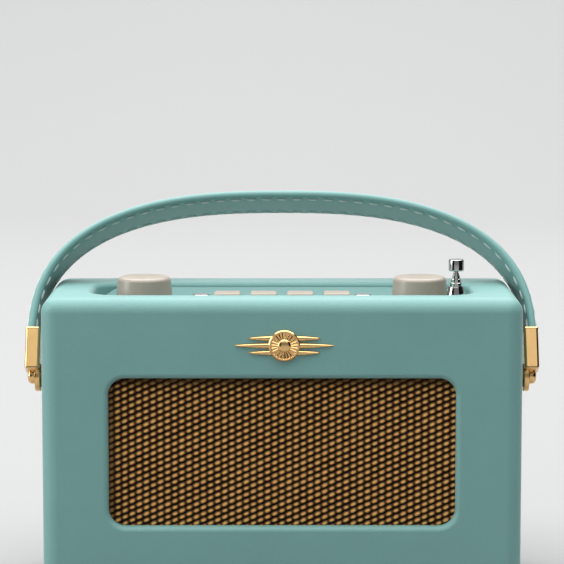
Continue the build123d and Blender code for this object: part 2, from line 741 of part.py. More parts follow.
with BuildPart() as aerial_ferrule:
    with BuildSketch(aerial_section):
        with BuildLine():
            Polyline(
                (ferrule_bore, guide_head_bottom),
                (ferrule_neck, guide_head_bottom),
                (ferrule_neck, deck_z),
                (FERRULE_DIAMETER / 2, deck_z),
                (FERRULE_DIAMETER / 2, deck_z + FERRULE_STRAIGHT),
                (FERRULE_TOP_DIAMETER / 2, deck_z + FERRULE_HEIGHT),
                (ferrule_bore, deck_z + FERRULE_HEIGHT),
                close=True,
            )
        make_face()
    revolve(axis=aerial_axis)

with BuildPart() as aerial_guide:
    with BuildSketch(aerial_section):
        with BuildLine():
            Polyline(
                (ferrule_neck, deck_under),
                (GUIDE_HEAD_DIAMETER / 2, deck_under),
                (GUIDE_HEAD_DIAMETER / 2, guide_head_bottom),
                (guide_bore + GUIDE_WALL, guide_head_bottom),
                (guide_bore + GUIDE_WALL, aerial_floor - AERIAL_STEP),
                (0, aerial_floor - AERIAL_STEP),
                (0, aerial_floor - AERIAL_STEP / 2),
                (guide_bore, aerial_floor - AERIAL_STEP / 2),
                (guide_bore, guide_head_bottom),
                (ferrule_neck, guide_head_bottom),
                close=True,
            )
        make_face()
    revolve(axis=aerial_axis)

foot_top = aerial_floor + AERIAL_FOOT_HEIGHT

with BuildPart() as aerial_foot:
    with BuildSketch(Plane.XY.offset(aerial_floor)):
        with Locations((aerial_x, aerial_y)):
            Circle(AERIAL_FOOT_DIAMETER / 2)
    extrude(amount=AERIAL_FOOT_HEIGHT)

aerial_tubes = []
for level, (diameter, rise) in enumerate(zip(TUBE_DIAMETERS, TUBE_RISES)):
    with BuildPart() as tube:
        with BuildSketch(Plane.XY.offset(foot_top + level * AERIAL_STEP)):
            with Locations((aerial_x, aerial_y)):
                Circle(diameter / 2)
                Circle(diameter / 2 - TUBE_WALL, mode=Mode.SUBTRACT)
        extrude(amount=deck_z + rise - foot_top - level * AERIAL_STEP)
        chamfer(tube.faces().sort_by(Axis.Z)[-1].outer_wire().edges(), TUBE_WALL / 2)
    aerial_tubes.append(tube)

rod_bottom = foot_top + len(TUBE_DIAMETERS) * AERIAL_STEP

with BuildPart() as aerial_tip:
    with BuildSketch(Plane.XY.offset(rod_bottom)):
        with Locations((aerial_x, aerial_y)):
            Circle(ROD_DIAMETER / 2)
    extrude(amount=deck_z + CAP_FOOT_RISE - rod_bottom)
    with BuildSketch(Plane.XY.offset(deck_z + CAP_FOOT_RISE)):
        with Locations((aerial_x, aerial_y)):
            Circle(CAP_DIAMETER / 2)
    extrude(amount=CAP_HEIGHT)
    fillet(aerial_tip.faces().sort_by(Axis.Z)[-1].edges(), 0.8)

# ---------------------------------------------------------------- rear panel and power

panel_mid_z = (cavity_floor + deck_z) / 2
panel_height = deck_z - cavity_floor - 2 * FIT_GAP
panel_screw_places = [
    (side * (cavity_half - 5.0), z)
    for side in (-1, 1)
    for z in (cavity_floor + 7.0, panel_mid_z, deck_z - 7.0)
]
door_opening = (DOOR_WIDTH + 2 * DOOR_GAP, DOOR_HEIGHT + 2 * DOOR_GAP)
door_mid_z = door_bottom + DOOR_HEIGHT / 2
pillar_places = [
    (main_board_x + side * (MAIN_BOARD_WIDTH / 2 - 4.0), main_board_z + end * (MAIN_BOARD_HEIGHT / 2 - 4.0))
    for side in (-1, 1)
    for end in (-1, 1)
]
vent_rows = 6
vent_z = (door_mid_z + DOOR_HEIGHT / 2 + deck_z) / 2

with BuildPart() as rear_battens:
    with BuildSketch(front_plane(panel_front)):
        for side in (-1, 1):
            with Locations((side * (cavity_half - 5.0), panel_mid_z)):
                Rectangle(10.0, deck_z - cavity_floor)
        with Locations(*panel_screw_places):
            Circle(SCREW_DIAMETER / 2, mode=Mode.SUBTRACT)
    extrude(amount=11.0)

with BuildPart() as rear_panel:
    with BuildSketch(front_plane(panel_rear)):
        with Locations((0, panel_mid_z)):
            Rectangle(2 * (cavity_half - FIT_GAP), panel_height)
        with Locations((0, door_mid_z)):
            Rectangle(*door_opening, mode=Mode.SUBTRACT)
        with Locations((0, vent_z)):
            with GridLocations(0, 7.0, 1, vent_rows):
                SlotOverall(90.0, 3.0, mode=Mode.SUBTRACT)
        with Locations(*panel_screw_places):
            Circle(SCREW_DIAMETER / 2, mode=Mode.SUBTRACT)
        with Locations(*[(main_board_x, z) for z in socket_zs]):
            Circle(SOCKET_NOSE_DIAMETER / 2 + FIT_GAP, mode=Mode.SUBTRACT)
    extrude(amount=PANEL)
    with BuildSketch(front_plane(panel_front)):
        with Locations(*pillar_places):
            Circle(PILLAR_DIAMETER / 2)
    extrude(amount=MAIN_BOARD_PANEL_GAP)
    with BuildSketch(front_plane(board_rear)):
        with Locations(*pillar_places):
            Circle(SCREW_DIAMETER / 2)
    extrude(amount=-8.0, mode=Mode.SUBTRACT)
    with Locations((0, door_axis_y, door_axis_z)):
        Cylinder(
            DOOR_PIN_RADIUS + RUNNING_GAP,
            DOOR_WIDTH + 2 * DOOR_PIN_LENGTH + 1.0,
            rotation=(0, 90, 0),
            mode=Mode.SUBTRACT,
        )

with BuildPart() as battery_door:
    with BuildSketch(front_plane(panel_rear)):
        with Locations((0, door_mid_z)):
            Rectangle(DOOR_WIDTH, DOOR_HEIGHT)
        with Locations((0, door_bottom + DOOR_HEIGHT)):
            Circle(6.0, mode=Mode.SUBTRACT)
    extrude(amount=PANEL)
    hinge_edges = battery_door.edges().filter_by(Axis.X).sort_by(Axis.Z)[0:2]
    fillet(hinge_edges, PANEL / 2 - 0.1)
    with Locations((0, door_axis_y, door_axis_z)):
        Cylinder(DOOR_PIN_RADIUS - 0.1, DOOR_WIDTH + 2 * DOOR_PIN_LENGTH, rotation=(0, 90, 0))

with BuildPart() as panel_screws:
    with BuildSketch(front_plane(panel_rear)):
        with Locations(*panel_screw_places):
            Circle(SCREW_DIAMETER / 2)
    extrude(amount=PANEL + 9.0)
    with BuildSketch(front_plane(panel_rear)):
        with Locations(*panel_screw_places):
            Circle(SCREW_DIAMETER)
            Rectangle(SCREW_DIAMETER, 0.8, mode=Mode.SUBTRACT)
    extrude(amount=-1.6)

holder_mid_y = (holder_front + holder_rear) / 2
cell_rows = [holder_rear - CELL_DIAMETER / 2 - FIT_GAP, holder_rear - 1.5 * CELL_DIAMETER - 2 * FIT_GAP]
cell_z = cavity_floor + HOLDER_WALL + FIT_GAP + CELL_DIAMETER / 2

with BuildPart() as battery_holder:
    with BuildSketch(Plane.XY.offset(cavity_floor)):
        with Locations((0, holder_mid_y)):
            Rectangle(2 * holder_half, holder_rear - holder_front)
    extrude(amount=holder_top - cavity_floor)
    with BuildSketch(front_plane(holder_rear)):
        with Locations((0, (cavity_floor + holder_top) / 2)):
            Rectangle(2 * (holder_half - HOLDER_WALL), holder_top - cavity_floor - 2 * HOLDER_WALL)
    extrude(amount=holder_rear - holder_front - HOLDER_WALL, mode=Mode.SUBTRACT)

with BuildPart() as battery_cells:
    for side in (-1, 1):
        for y in cell_rows:
            with BuildSketch(side_plane(side * CELL_GAP)):
                with Locations((y, cell_z)):
                    Circle(CELL_DIAMETER / 2)
            extrude(amount=side * (CELL_LENGTH - CELL_TIP - CELL_GAP))
            with BuildSketch(side_plane(side * (CELL_LENGTH - CELL_TIP))):
                with Locations((y, cell_z)):
                    Circle(3.8)
            extrude(amount=side * CELL_TIP)

with BuildPart() as battery_contacts:
    for side in (-1, 1):
        with BuildSketch(side_plane(side * (holder_half - HOLDER_WALL))):
            for y in cell_rows:
                with Locations((y, cell_z)):
                    Circle(8.0)
        extrude(amount=-side * 0.5)
        with BuildSketch(side_plane(side * (holder_half - HOLDER_WALL - 0.5))):
            for y in cell_rows:
                with Locations((y, cell_z)):
                    Circle(4.6)
        extrude(amount=-side * (CONTACT - 0.5 - 0.1), taper=15)

with BuildPart() as main_board:
    with BuildSketch(front_plane(board_rear)):
        with Locations((main_board_x, main_board_z)):
            Rectangle(MAIN_BOARD_WIDTH, MAIN_BOARD_HEIGHT)
        with Locations(*pillar_places):
            Circle(SCREW_DIAMETER / 2, mode=Mode.SUBTRACT)
    extrude(amount=BOARD)

with BuildPart() as main_board_parts:
    with BuildSketch(front_plane(board_rear - BOARD)):
        with Locations((main_board_x, main_board_z + 14)):
            Rectangle(14, 14)
        with Locations((main_board_x, main_board_z - 12)):
            Rectangle(16, 10)
    extrude(amount=1.8)
    with BuildSketch(front_plane(board_rear - BOARD)):
        with Locations((main_board_x - 9, main_board_z - 28), (main_board_x + 4, main_board_z - 28)):
            Circle(5.0)
    extrude(amount=11.0)

with BuildPart() as board_screws:
    with BuildSketch(front_plane(board_rear - BOARD)):
        with Locations(*pillar_places):
            Circle(SCREW_DIAMETER / 2)
    extrude(amount=-(BOARD + 6.0))
    with BuildSketch(front_plane(board_rear - BOARD)):
        with Locations(*pillar_places):
            Circle(SCREW_DIAMETER - 0.3)
    extrude(amount=1.6)
    with BuildSketch(Plane.XY.offset(board_z - BOARD)):
        with Locations(*deck_pillar_places):
            Circle(SCREW_DIAMETER / 2)
    extrude(amount=BOARD + BOARD_DROP - 0.5)
    with BuildSketch(Plane.XY.offset(board_z - BOARD)):
        with Locations(*deck_pillar_places):
            Circle(SCREW_DIAMETER - 0.3)
    extrude(amount=-1.6)

nose_end = panel_rear - 0.5


def socket(z, bore_diameter, pin_diameter):
    """A panel socket on the main board, whose round nose shows through the rear panel."""
    with BuildPart() as body:
        with BuildSketch(front_plane(board_rear)):
            with Locations((main_board_x, z)):
                Rectangle(SOCKET_WIDTH, SOCKET_WIDTH)
        extrude(amount=-(MAIN_BOARD_PANEL_GAP - FIT_GAP))
        with BuildSketch(front_plane(panel_front - FIT_GAP)):
            with Locations((main_board_x, z)):
                Circle(SOCKET_NOSE_DIAMETER / 2)
        extrude(amount=-(nose_end - panel_front + FIT_GAP))
        with BuildSketch(front_plane(nose_end)):
            with Locations((main_board_x, z)):
                Circle(bore_diameter / 2)
                if pin_diameter:
                    Circle(pin_diameter / 2, mode=Mode.SUBTRACT)
        extrude(amount=nose_end - board_rear - 2.0, mode=Mode.SUBTRACT)
    return body


headphone_socket = socket(socket_zs[0], JACK_DIAMETER, 0)
aux_socket = socket(socket_zs[1], JACK_DIAMETER, 0)
dc_socket = socket(socket_zs[2], DC_BORE_DIAMETER, DC_PIN_DIAMETER)

# ---------------------------------------------------------------- handle


def arch_point(turn, inset):
    """A point on the strap's arch, at an angle in degrees from its right-hand spring line."""
    across = abs(cos(radians(turn))) ** (2 / STRAP_POWER)
    up = abs(sin(radians(turn))) ** (2 / STRAP_POWER)
    sign = 1 if turn <= 90 else -1
    return (sign * across * (strap_half - inset), STRAP_LEG + up * (STRAP_ARCH - inset))


arch_turns = [0, 6, 14, 24, 36, 50, 68, 90, 112, 130, 144, 156, 166, 174, 180]

with BuildPart() as handle_strap:
    with BuildSketch(strap_plane):
        with BuildLine():
            outer_arch = Spline(
                *[arch_point(turn, 0) for turn in arch_turns],
                tangents=[(0, 1), (0, -1)],
            )
            inner_arch = Spline(
                *[arch_point(turn, STRAP) for turn in arch_turns],
                tangents=[(0, 1), (0, -1)],
            )
            for side, outer_end, inner_end in (
                (1, outer_arch @ 0, inner_arch @ 0),
                (-1, outer_arch @ 1, inner_arch @ 1),
            ):
                Polyline(
                    outer_end,
                    (side * strap_half, STRAP_START),
                    (side * (strap_half - STRAP), STRAP_START),
                    inner_end,
                )
        make_face()
    extrude(amount=STRAP_WIDTH / 2, both=True)
    with BuildSketch(clip_plane(0)):
        with Locations((0, RIVET_HEIGHT)):
            Circle(RIVET_DIAMETER / 2)
    extrude(amount=strap_half, both=True, mode=Mode.SUBTRACT)

sleeve_outer = strap_half + CLIP_WALL
clip_half_width = STRAP_WIDTH / 2 + CLIP_WALL
eye_inner = clip_inner
eye_outer = clip_inner + CLIP_PLATE
screw_face = eye_outer + 0.2


def handle_clip(side):
    """A folded metal end clip: a sleeve round the strap and a flat eye for the pivot screw."""
    with BuildPart() as clip:
        with BuildSketch(clip_plane(side * eye_inner)):
            with Locations((0, (CLIP_SLEEVE_START + CLIP_SLEEVE_END) / 2)):
                Rectangle(2 * clip_half_width, CLIP_SLEEVE_END - CLIP_SLEEVE_START)
        extrude(amount=side * (sleeve_outer - eye_inner))
        fillet(clip.edges().filter_by(Axis.X), 0.8)
        with BuildSketch(clip_plane(side * eye_inner)):
            with BuildLine():
                Polyline(
                    (CLIP_EYE_RADIUS, 0),
                    (clip_half_width, CLIP_SLEEVE_START + 0.8),
                    (-clip_half_width, CLIP_SLEEVE_START + 0.8),
                    (-CLIP_EYE_RADIUS, 0),
                )
                ThreePointArc((-CLIP_EYE_RADIUS, 0), (0, -CLIP_EYE_RADIUS), (CLIP_EYE_RADIUS, 0))
            make_face()
        extrude(amount=side * CLIP_PLATE)
        with BuildSketch(clip_plane(side * eye_inner)):
            Circle(PIVOT_DIAMETER / 2 + RUNNING_GAP)
        extrude(amount=side * CLIP_PLATE, mode=Mode.SUBTRACT)
        with BuildSketch(clip_plane(side * eye_outer)):
            Circle(PIVOT_HEAD_DIAMETER / 2 + CLIP_HEAD_GAP)
        extrude(amount=side * (sleeve_outer - eye_outer), mode=Mode.SUBTRACT)
        add(handle_strap.part, mode=Mode.SUBTRACT)
        with BuildSketch(clip_plane(side * eye_inner)):
            with Locations((0, RIVET_HEIGHT)):
                Circle(RIVET_DIAMETER / 2)
        extrude(amount=side * (sleeve_outer - eye_inner), mode=Mode.SUBTRACT)
    return clip


clip_left = handle_clip(-1)
clip_right = handle_clip(1)

with BuildPart() as clip_rivets:
    for side in (-1, 1):
        with BuildSketch(clip_plane(side * eye_inner)):
            with Locations((0, RIVET_HEIGHT)):
                Circle(RIVET_DIAMETER / 2)
        extrude(amount=side * (sleeve_outer - eye_inner))
        with BuildSketch(clip_plane(side * sleeve_outer)):
            with Locations((0, RIVET_HEIGHT)):
                Circle(RIVET_DIAMETER)
        extrude(amount=side * 0.8, taper=30)

with BuildPart() as pivot_inserts:
    for side in (-1, 1):
        with BuildSketch(side_plane(side * cavity_half)):
            with Locations((0, pivot_z)):
                Circle(INSERT_DIAMETER / 2)
                Circle(PIVOT_DIAMETER / 2, mode=Mode.SUBTRACT)
        extrude(amount=side * (WIDTH / 2 - cavity_half))

with BuildPart() as pivot_spacers:
    for side in (-1, 1):
        with BuildSketch(side_plane(side * WIDTH / 2)):
            with Locations((0, pivot_z)):
                Circle(INSERT_DIAMETER / 2 + 2.5)
                Circle(PIVOT_DIAMETER / 2, mode=Mode.SUBTRACT)
        extrude(amount=side * PIVOT_GAP)

with BuildPart() as pivot_screws:
    for side in (-1, 1):
        with BuildSketch(side_plane(side * (WIDTH / 2 - PIVOT_LENGTH))):
            with Locations((0, pivot_z)):
                Circle(PIVOT_DIAMETER / 2)
        extrude(amount=side * (screw_face - WIDTH / 2 + PIVOT_LENGTH))
        with BuildSketch(side_plane(side * screw_face)):
            with Locations((0, pivot_z)):
                Circle(PIVOT_HEAD_DIAMETER / 2)
        extrude(amount=side * PIVOT_HEAD_HEIGHT)
    crowns = pivot_screws.faces().sort_by(Axis.X)
    fillet(crowns[0].edges() + crowns[-1].edges(), 2.6)

# ---------------------------------------------------------------- files

pieces = {
    "cabinet_box": cabinet_box,
    "leather_cover": leather_cover,
    "feet": feet,
    "foot_screws": foot_screws,
    "grille_cloth": grille_cloth,
    "speaker_baffle": speaker_baffle,
    "emblem": emblem,
    "speaker_basket": speaker_basket,
    "speaker_magnet": speaker_magnet,
    "speaker_cone": speaker_cone,
    "speaker_surround": speaker_surround,
    "speaker_screws": speaker_screws,
    "control_deck": control_deck,
    "deck_screws": deck_screws,
    "display_window": display_window,
    "display_module": display_module,
    "control_board": control_board,
    "volume_encoder": volume_encoder,
    "tuning_encoder": tuning_encoder,
    "encoder_nuts": encoder_nuts,
    "key_switches": key_switches,
    "volume_knob": volume_knob,
    "volume_shaft": volume_shaft,
    "tuning_knob": tuning_knob,
    "tuning_shaft": tuning_shaft,
    "tuning_plunger": tuning_plunger,
    "standby_button": buttons[0],
    "info_button": buttons[1],
    "aerial_ferrule": aerial_ferrule,
    "aerial_guide": aerial_guide,
    "aerial_foot": aerial_foot,
    "aerial_tip": aerial_tip,
    "rear_battens": rear_battens,
    "rear_panel": rear_panel,
    "panel_screws": panel_screws,
    "battery_door": battery_door,
    "battery_holder": battery_holder,
    "battery_cells": battery_cells,
    "battery_contacts": battery_contacts,
    "main_board": main_board,
    "main_board_parts": main_board_parts,
    "board_screws": board_screws,
    "headphone_socket": headphone_socket,
    "aux_socket": aux_socket,
    "dc_socket": dc_socket,
    "handle_strap": handle_strap,
    "handle_clip_left": clip_left,
    "handle_clip_right": clip_right,
    "clip_rivets": clip_rivets,
    "pivot_inserts": pivot_inserts,
    "pivot_spacers": pivot_spacers,
    "pivot_screws": pivot_screws,
}
for index, key in enumerate(keys, start=1):
    pieces[f"key_{index}"] = key
for index, tube in enumerate(aerial_tubes, start=1):
    pieces[f"aerial_tube_{index}"] = tube

os.makedirs("parts", exist_ok=True)
for label, piece in pieces.items():
    piece.part.label = label
    export_step(piece.part, f"parts/{label}.step")
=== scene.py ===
"""Dresses the leathercloth portable radio: cover, woven grille, strap handle, controls and metalwork.

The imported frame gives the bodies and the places. Lengths in the classes below are millimetres, and
MM turns them into the scene's metres. The studio's own lengths are metres.
"""
import logging
import math
from dataclasses import dataclass, field
from enum import Enum
from typing import Iterable, Sequence, Union

import bmesh
import bpy
from mathutils import Matrix, Vector


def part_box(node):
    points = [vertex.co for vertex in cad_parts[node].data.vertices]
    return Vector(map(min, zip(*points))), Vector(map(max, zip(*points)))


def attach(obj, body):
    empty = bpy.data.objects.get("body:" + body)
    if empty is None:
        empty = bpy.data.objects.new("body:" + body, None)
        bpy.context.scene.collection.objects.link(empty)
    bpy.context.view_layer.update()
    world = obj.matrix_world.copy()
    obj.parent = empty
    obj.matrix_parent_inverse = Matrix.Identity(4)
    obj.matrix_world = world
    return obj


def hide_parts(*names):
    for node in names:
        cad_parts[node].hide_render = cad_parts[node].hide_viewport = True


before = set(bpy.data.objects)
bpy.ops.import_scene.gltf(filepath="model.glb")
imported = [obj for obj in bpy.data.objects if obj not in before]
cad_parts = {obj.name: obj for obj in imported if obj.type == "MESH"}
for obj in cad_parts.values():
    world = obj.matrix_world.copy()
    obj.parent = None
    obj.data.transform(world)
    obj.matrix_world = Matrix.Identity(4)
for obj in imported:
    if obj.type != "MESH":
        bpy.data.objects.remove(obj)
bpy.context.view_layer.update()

LOG = logging.getLogger("radio")
MM = 0.001
Colour = tuple[float, float, float]
Point = tuple[float, float, float]

# Each turns a piece that is made upright, about Z, to the way it faces on the radio.
FACING_FRONT = Matrix.Rotation(math.pi / 2, 4, "X")
FACING_REAR = Matrix.Rotation(-math.pi / 2, 4, "X")
FACING_RIGHT = Matrix.Rotation(math.pi / 2, 4, "Y")
FACING_LEFT = Matrix.Rotation(-math.pi / 2, 4, "Y")
FACING_UP_STRAP = Matrix.Rotation(-math.pi / 2, 4, "X")


# ------------------------------------------------------------------ shader maths


class Signal:
    """A number that varies over a surface: one output socket, with arithmetic."""

    def __init__(self, graph: "Graph", socket: bpy.types.NodeSocket) -> None:
        """Wrap a socket.

        Args:
            graph: The graph that owns the socket.
            socket: The output to wrap.
        """
        self.graph = graph
        self.socket = socket

    def __add__(self, other: "Operand") -> "Signal":
        """Sum with a signal or number."""
        return self.graph.math("ADD", self, other)

    def __radd__(self, other: float) -> "Signal":
        """Sum with a number on the left."""
        return self.graph.math("ADD", other, self)

    def __sub__(self, other: "Operand") -> "Signal":
        """Difference from a signal or number."""
        return self.graph.math("SUBTRACT", self, other)

    def __rsub__(self, other: float) -> "Signal":
        """Difference from a number on the left."""
        return self.graph.math("SUBTRACT", other, self)

    def __mul__(self, other: "Operand") -> "Signal":
        """Product with a signal or number."""
        return self.graph.math("MULTIPLY", self, other)

    def __rmul__(self, other: float) -> "Signal":
        """Product with a number on the left."""
        return self.graph.math("MULTIPLY", other, self)

    def step(self, low: float, high: float) -> "Signal":
        """Rise smoothly from 0 at low to 1 at high.

        Args:
            low: Where the rise starts.
            high: Where it ends.

        Returns:
            The eased signal.
        """
        return self.graph.node(
            "ShaderNodeMapRange",
            {"interpolation_type": "SMOOTHSTEP"},
            {"Value": self, "From Min": low, "From Max": high},
        )


Operand = Union[Signal, float]


class Graph:
    """The node tree of one material."""

    def __init__(self, material: bpy.types.Material) -> None:
        """Empty a material's tree and give it one Principled shader.

        Args:
            material: The material to fill.
        """
        material.use_nodes = True
        self.tree = material.node_tree
        self.tree.nodes.clear()
        output = self.tree.nodes.new("ShaderNodeOutputMaterial")
        self.shader = self.tree.nodes.new("ShaderNodeBsdfPrincipled")
        self.tree.links.new(self.shader.outputs["BSDF"], output.inputs["Surface"])

    def node(self, kind: str, settings: dict, inputs: dict, output: Union[int, str] = 0) -> Signal:
        """Add a node.

        Args:
            kind: The node's type name.
            settings: Attributes, set before the sockets.
            inputs: Values or signals by socket name or index.
            output: The output to wrap.

        Returns:
            The chosen output.
        """
        made = self.tree.nodes.new(kind)
        for name, value in settings.items():
            setattr(made, name, value)
        for name, value in inputs.items():
            self.feed(made.inputs[name], value)
        return Signal(self, made.outputs[output])

    def feed(self, socket: bpy.types.NodeSocket, value: object) -> None:
        """Link a signal to a socket, or set the socket's own value."""
        if isinstance(value, Signal):
            self.tree.links.new(value.socket, socket)
        else:
            socket.default_value = value

    def math(self, operation: str, *operands: Operand) -> Signal:
        """Add a Math node.

        Args:
            operation: The node's operation.
            operands: Its one or two inputs.

        Returns:
            The result.
        """
        return self.node("ShaderNodeMath", {"operation": operation}, dict(enumerate(operands)))

    def place(self, scale: Point = (1.0, 1.0, 1.0)) -> Signal:
        """Object coordinates in metres, stretched by a scale along each axis."""
        coordinates = self.node("ShaderNodeTexCoord", {}, {}, "Object")
        return self.node("ShaderNodeMapping", {}, {"Vector": coordinates, "Scale": scale})

    def axis(self, letter: str) -> Signal:
        """One object coordinate, by its letter, in metres."""
        return self.node("ShaderNodeSeparateXYZ", {}, {"Vector": self.place()}, letter)

    def noise(self, size: float, detail: float = 2.0, stretch: Point = (1.0, 1.0, 1.0)) -> Signal:
        """Smooth noise from 0 to 1.

        Args:
            size: The blobs' size in millimetres.
            detail: Octaves of finer noise.
            stretch: Scale of the pattern along each axis.

        Returns:
            The noise.
        """
        settings = {"Vector": self.place(stretch), "Scale": 1 / (size * MM), "Detail": detail}
        return self.node("ShaderNodeTexNoise", {}, settings, 0)

    def cells(self, size: float, feature: str = "F1") -> Signal:
        """Distance from the centres of irregular cells of a size in millimetres."""
        inputs = {"Vector": self.place(), "Scale": 1 / (size * MM)}
        return self.node("ShaderNodeTexVoronoi", {"feature": feature}, inputs, "Distance")

    def blend(self, amount: Operand, low: Colour, high: Colour) -> Signal:
        """A colour between two colours.

        Args:
            amount: 0 for low and 1 for high.
            low: First linear colour.
            high: Second linear colour.

        Returns:
            The colour.
        """
        inputs = {0: amount, 6: (*low, 1.0), 7: (*high, 1.0)}
        return self.node("ShaderNodeMix", {"data_type": "RGBA"}, inputs, 2)

    def bump(self, height: Signal, depth: float) -> None:
        """Raise the shader's normal by a height signal, at a depth in millimetres."""
        relief = self.node(
            "ShaderNodeBump", {}, {"Height": height, "Distance": depth * MM, "Strength": 1.0}, "Normal"
        )
        self.feed(self.shader.inputs["Normal"], relief)

    def vary(self, **values: object) -> None:
        """Set or link the shader's sockets, named with underscores for spaces."""
        for name, value in values.items():
            socket = self.shader.inputs[name.replace("_", " ")]
            if isinstance(value, tuple) and len(value) == 3:
                value = (*value, 1.0)
            self.feed(socket, value)


def lighter(colour: Colour, factor: float) -> Colour:
    """A linear colour times a factor, held below 1."""
    return tuple(min(channel * factor, 1.0) for channel in colour)


# ------------------------------------------------------------------ finishes


@dataclass(frozen=True)
class Finish:
    """A surface finish, made into a material once and then shared."""

    name: str
    colour: Colour

    def material(self) -> bpy.types.Material:
        """The finish's material, made on its first use.

        Returns:
            The material.
        """
        found = bpy.data.materials.get(self.name)
        if found:
            return found
        made = bpy.data.materials.new(self.name)
        self.shade(Graph(made))
        return made

    def shade(self, graph: Graph) -> None:
        """Fill the material's graph."""
        graph.vary(Base_Color=self.colour)


@dataclass(frozen=True)
class Leathercloth(Finish):
    """Coated cloth with a fine pebble grain."""

    grain: float = 0.75
    depth: float = 0.05
    roughness: float = 0.5

    def shade(self, graph: Graph) -> None:
        """Pebbles, creases between them, slow unevenness and rubbed patches.

        Args:
            graph: The material's graph.
        """
        pebble = graph.cells(self.grain, "SMOOTH_F1")
        crease = graph.noise(self.grain * 2.2, 3.0)
        cloud = graph.noise(38.0, 3.0)
        rub = graph.noise(9.0, 4.0)
        tone = cloud * 0.5 + rub * 0.22 + (1 - pebble) * 0.3
        graph.vary(
            Base_Color=graph.blend(tone, lighter(self.colour, 0.90), lighter(self.colour, 1.11)),
            Roughness=self.roughness - 0.07 + rub * 0.10 + pebble * 0.06,
            Sheen_Weight=0.12,
            Sheen_Roughness=0.4,
            Specular_IOR_Level=0.42,
        )
        graph.bump((1 - pebble) + crease * 0.8 + cloud * 1.6, self.depth)


@dataclass(frozen=True)
class Yarn(Finish):
    """Grille yarn, with a painted highlight on each crown and painted shade where it dives and along the
    left and top edges.
    """

    # Painted shade colour where the yarn dives, then the opening's edges and the band inside them that gets
    # painted shade.
    dive_shade: Colour = (0.075, 0.034, 0.006)
    left: float = -91.0
    top: float = 118.0
    top_lip: float = 1.4
    painted_shade_width: float = 6.0

    def shade(self, graph: Graph) -> None:
        """Painted highlight on each crown from the height attribute, painted shade along the edges, and fine
        fibres across.

        Args:
            graph: The material's graph.
        """
        crown = graph.node("ShaderNodeAttribute", {"attribute_name": "crown"}, {}, "Fac")
        fibre = graph.noise(0.35, 2.0, (0.4, 1.0, 1.4))
        patch = graph.noise(24.0, 2.0)
        # Painted shade: the yarn's colour darkens along the opening's left and top edges.
        left = graph.axis("X").step(self.left * MM, (self.left + self.painted_shade_width) * MM)
        top = (graph.axis("Z") * -1).step((self.top_lip - self.top) * MM, (self.painted_shade_width - self.top) * MM)
        painted_edge_shade = (0.1 + left * 0.9) * (0.03 + top * 0.97)
        # Painted highlight: brightest on each float's crown, fading to the painted shade colour where the
        # yarn dives.
        tone = crown.step(0.62, 1.12) * (0.72 + fibre * 0.3 + patch * 0.14) * painted_edge_shade
        graph.vary(
            Base_Color=graph.blend(tone, self.dive_shade, self.colour),
            Roughness=0.36 + fibre * 0.16,
            Specular_IOR_Level=0.2,
        )
        graph.bump(fibre, 0.06)


@dataclass(frozen=True)
class Thread(Finish):
    """Sewing thread with a twist along it."""

    def shade(self, graph: Graph) -> None:
        """Plies and loose fibres.

        Args:
            graph: The material's graph.
        """
        ply = graph.noise(0.5, 2.0)
        graph.vary(
            Base_Color=graph.blend(ply, lighter(self.colour, 0.82), lighter(self.colour, 1.1)),
            Roughness=0.62 + ply * 0.12,
            Sheen_Weight=0.2,
        )
        graph.bump(ply, 0.08)


@dataclass(frozen=True)
class PolishedMetal(Finish):
    """Bright metal with handling marks."""

    roughness: float = 0.12
    marks: float = 0.10

    def shade(self, graph: Graph) -> None:
        """Hairlines and smears in the gloss, and slight tarnish in the colour.

        Args:
            graph: The material's graph.
        """
        hairline = graph.noise(0.6, 3.0, (1.0, 1.0, 0.08))
        smear = graph.noise(5.0, 3.0)
        graph.vary(
            Base_Color=graph.blend(smear, lighter(self.colour, 0.90), lighter(self.colour, 1.05)),
            Metallic=1.0,
            Roughness=self.roughness + hairline * self.marks * 0.5 + smear * self.marks,
        )
        graph.bump(hairline, 0.004)


@dataclass(frozen=True)
class Moulding(Finish):
    """Moulded plastic, paint or rubber with a fine surface texture."""

    roughness: float = 0.4
    texture: float = 0.5
    depth: float = 0.01
    coat: float = 0.0

    def shade(self, graph: Graph) -> None:
        """Spark-eroded texture, faint flow shades and uneven gloss.

        Args:
            graph: The material's graph.
        """
        grit = graph.noise(self.texture, 2.0)
        flow = graph.noise(16.0, 2.0)
        graph.vary(
            Base_Color=graph.blend(flow, lighter(self.colour, 0.93), lighter(self.colour, 1.05)),
            Roughness=self.roughness + grit * 0.08 + flow * 0.05,
            Coat_Weight=self.coat,
            Coat_Roughness=0.2,
        )
        graph.bump(grit, self.depth)


@dataclass(frozen=True)
class FibreBoard(Finish):
    """Pressed board, paper or laminate with visible fibres."""

    fibre: float = 0.9
    roughness: float = 0.75
    gloss: float = 0.5

    def shade(self, graph: Graph) -> None:
        """Short pale and dark fibres, pressed flat.

        Args:
            graph: The material's graph.
        """
        fibres = graph.noise(self.fibre, 4.0, (0.35, 1.0, 1.0))
        fleck = graph.cells(self.fibre * 2.0)
        graph.vary(
            Base_Color=graph.blend(
                fibres * 0.7 + fleck * 0.3, lighter(self.colour, 0.7), lighter(self.colour, 1.25)
            ),
            Roughness=self.roughness + fibres * 0.12,
            Specular_IOR_Level=self.gloss,
        )
        graph.bump(fibres, 0.03)


@dataclass(frozen=True)
class Lens(Finish):
    """Clear smoked plastic over the display."""

    def shade(self, graph: Graph) -> None:
        """Glossy and see-through, with faint wipe marks.

        Args:
            graph: The material's graph.
        """
        wipe = graph.noise(4.0, 3.0)
        graph.vary(
            Base_Color=self.colour, Roughness=0.04 + wipe * 0.06, Alpha=0.55, IOR=1.49, Coat_Weight=0.6
        )


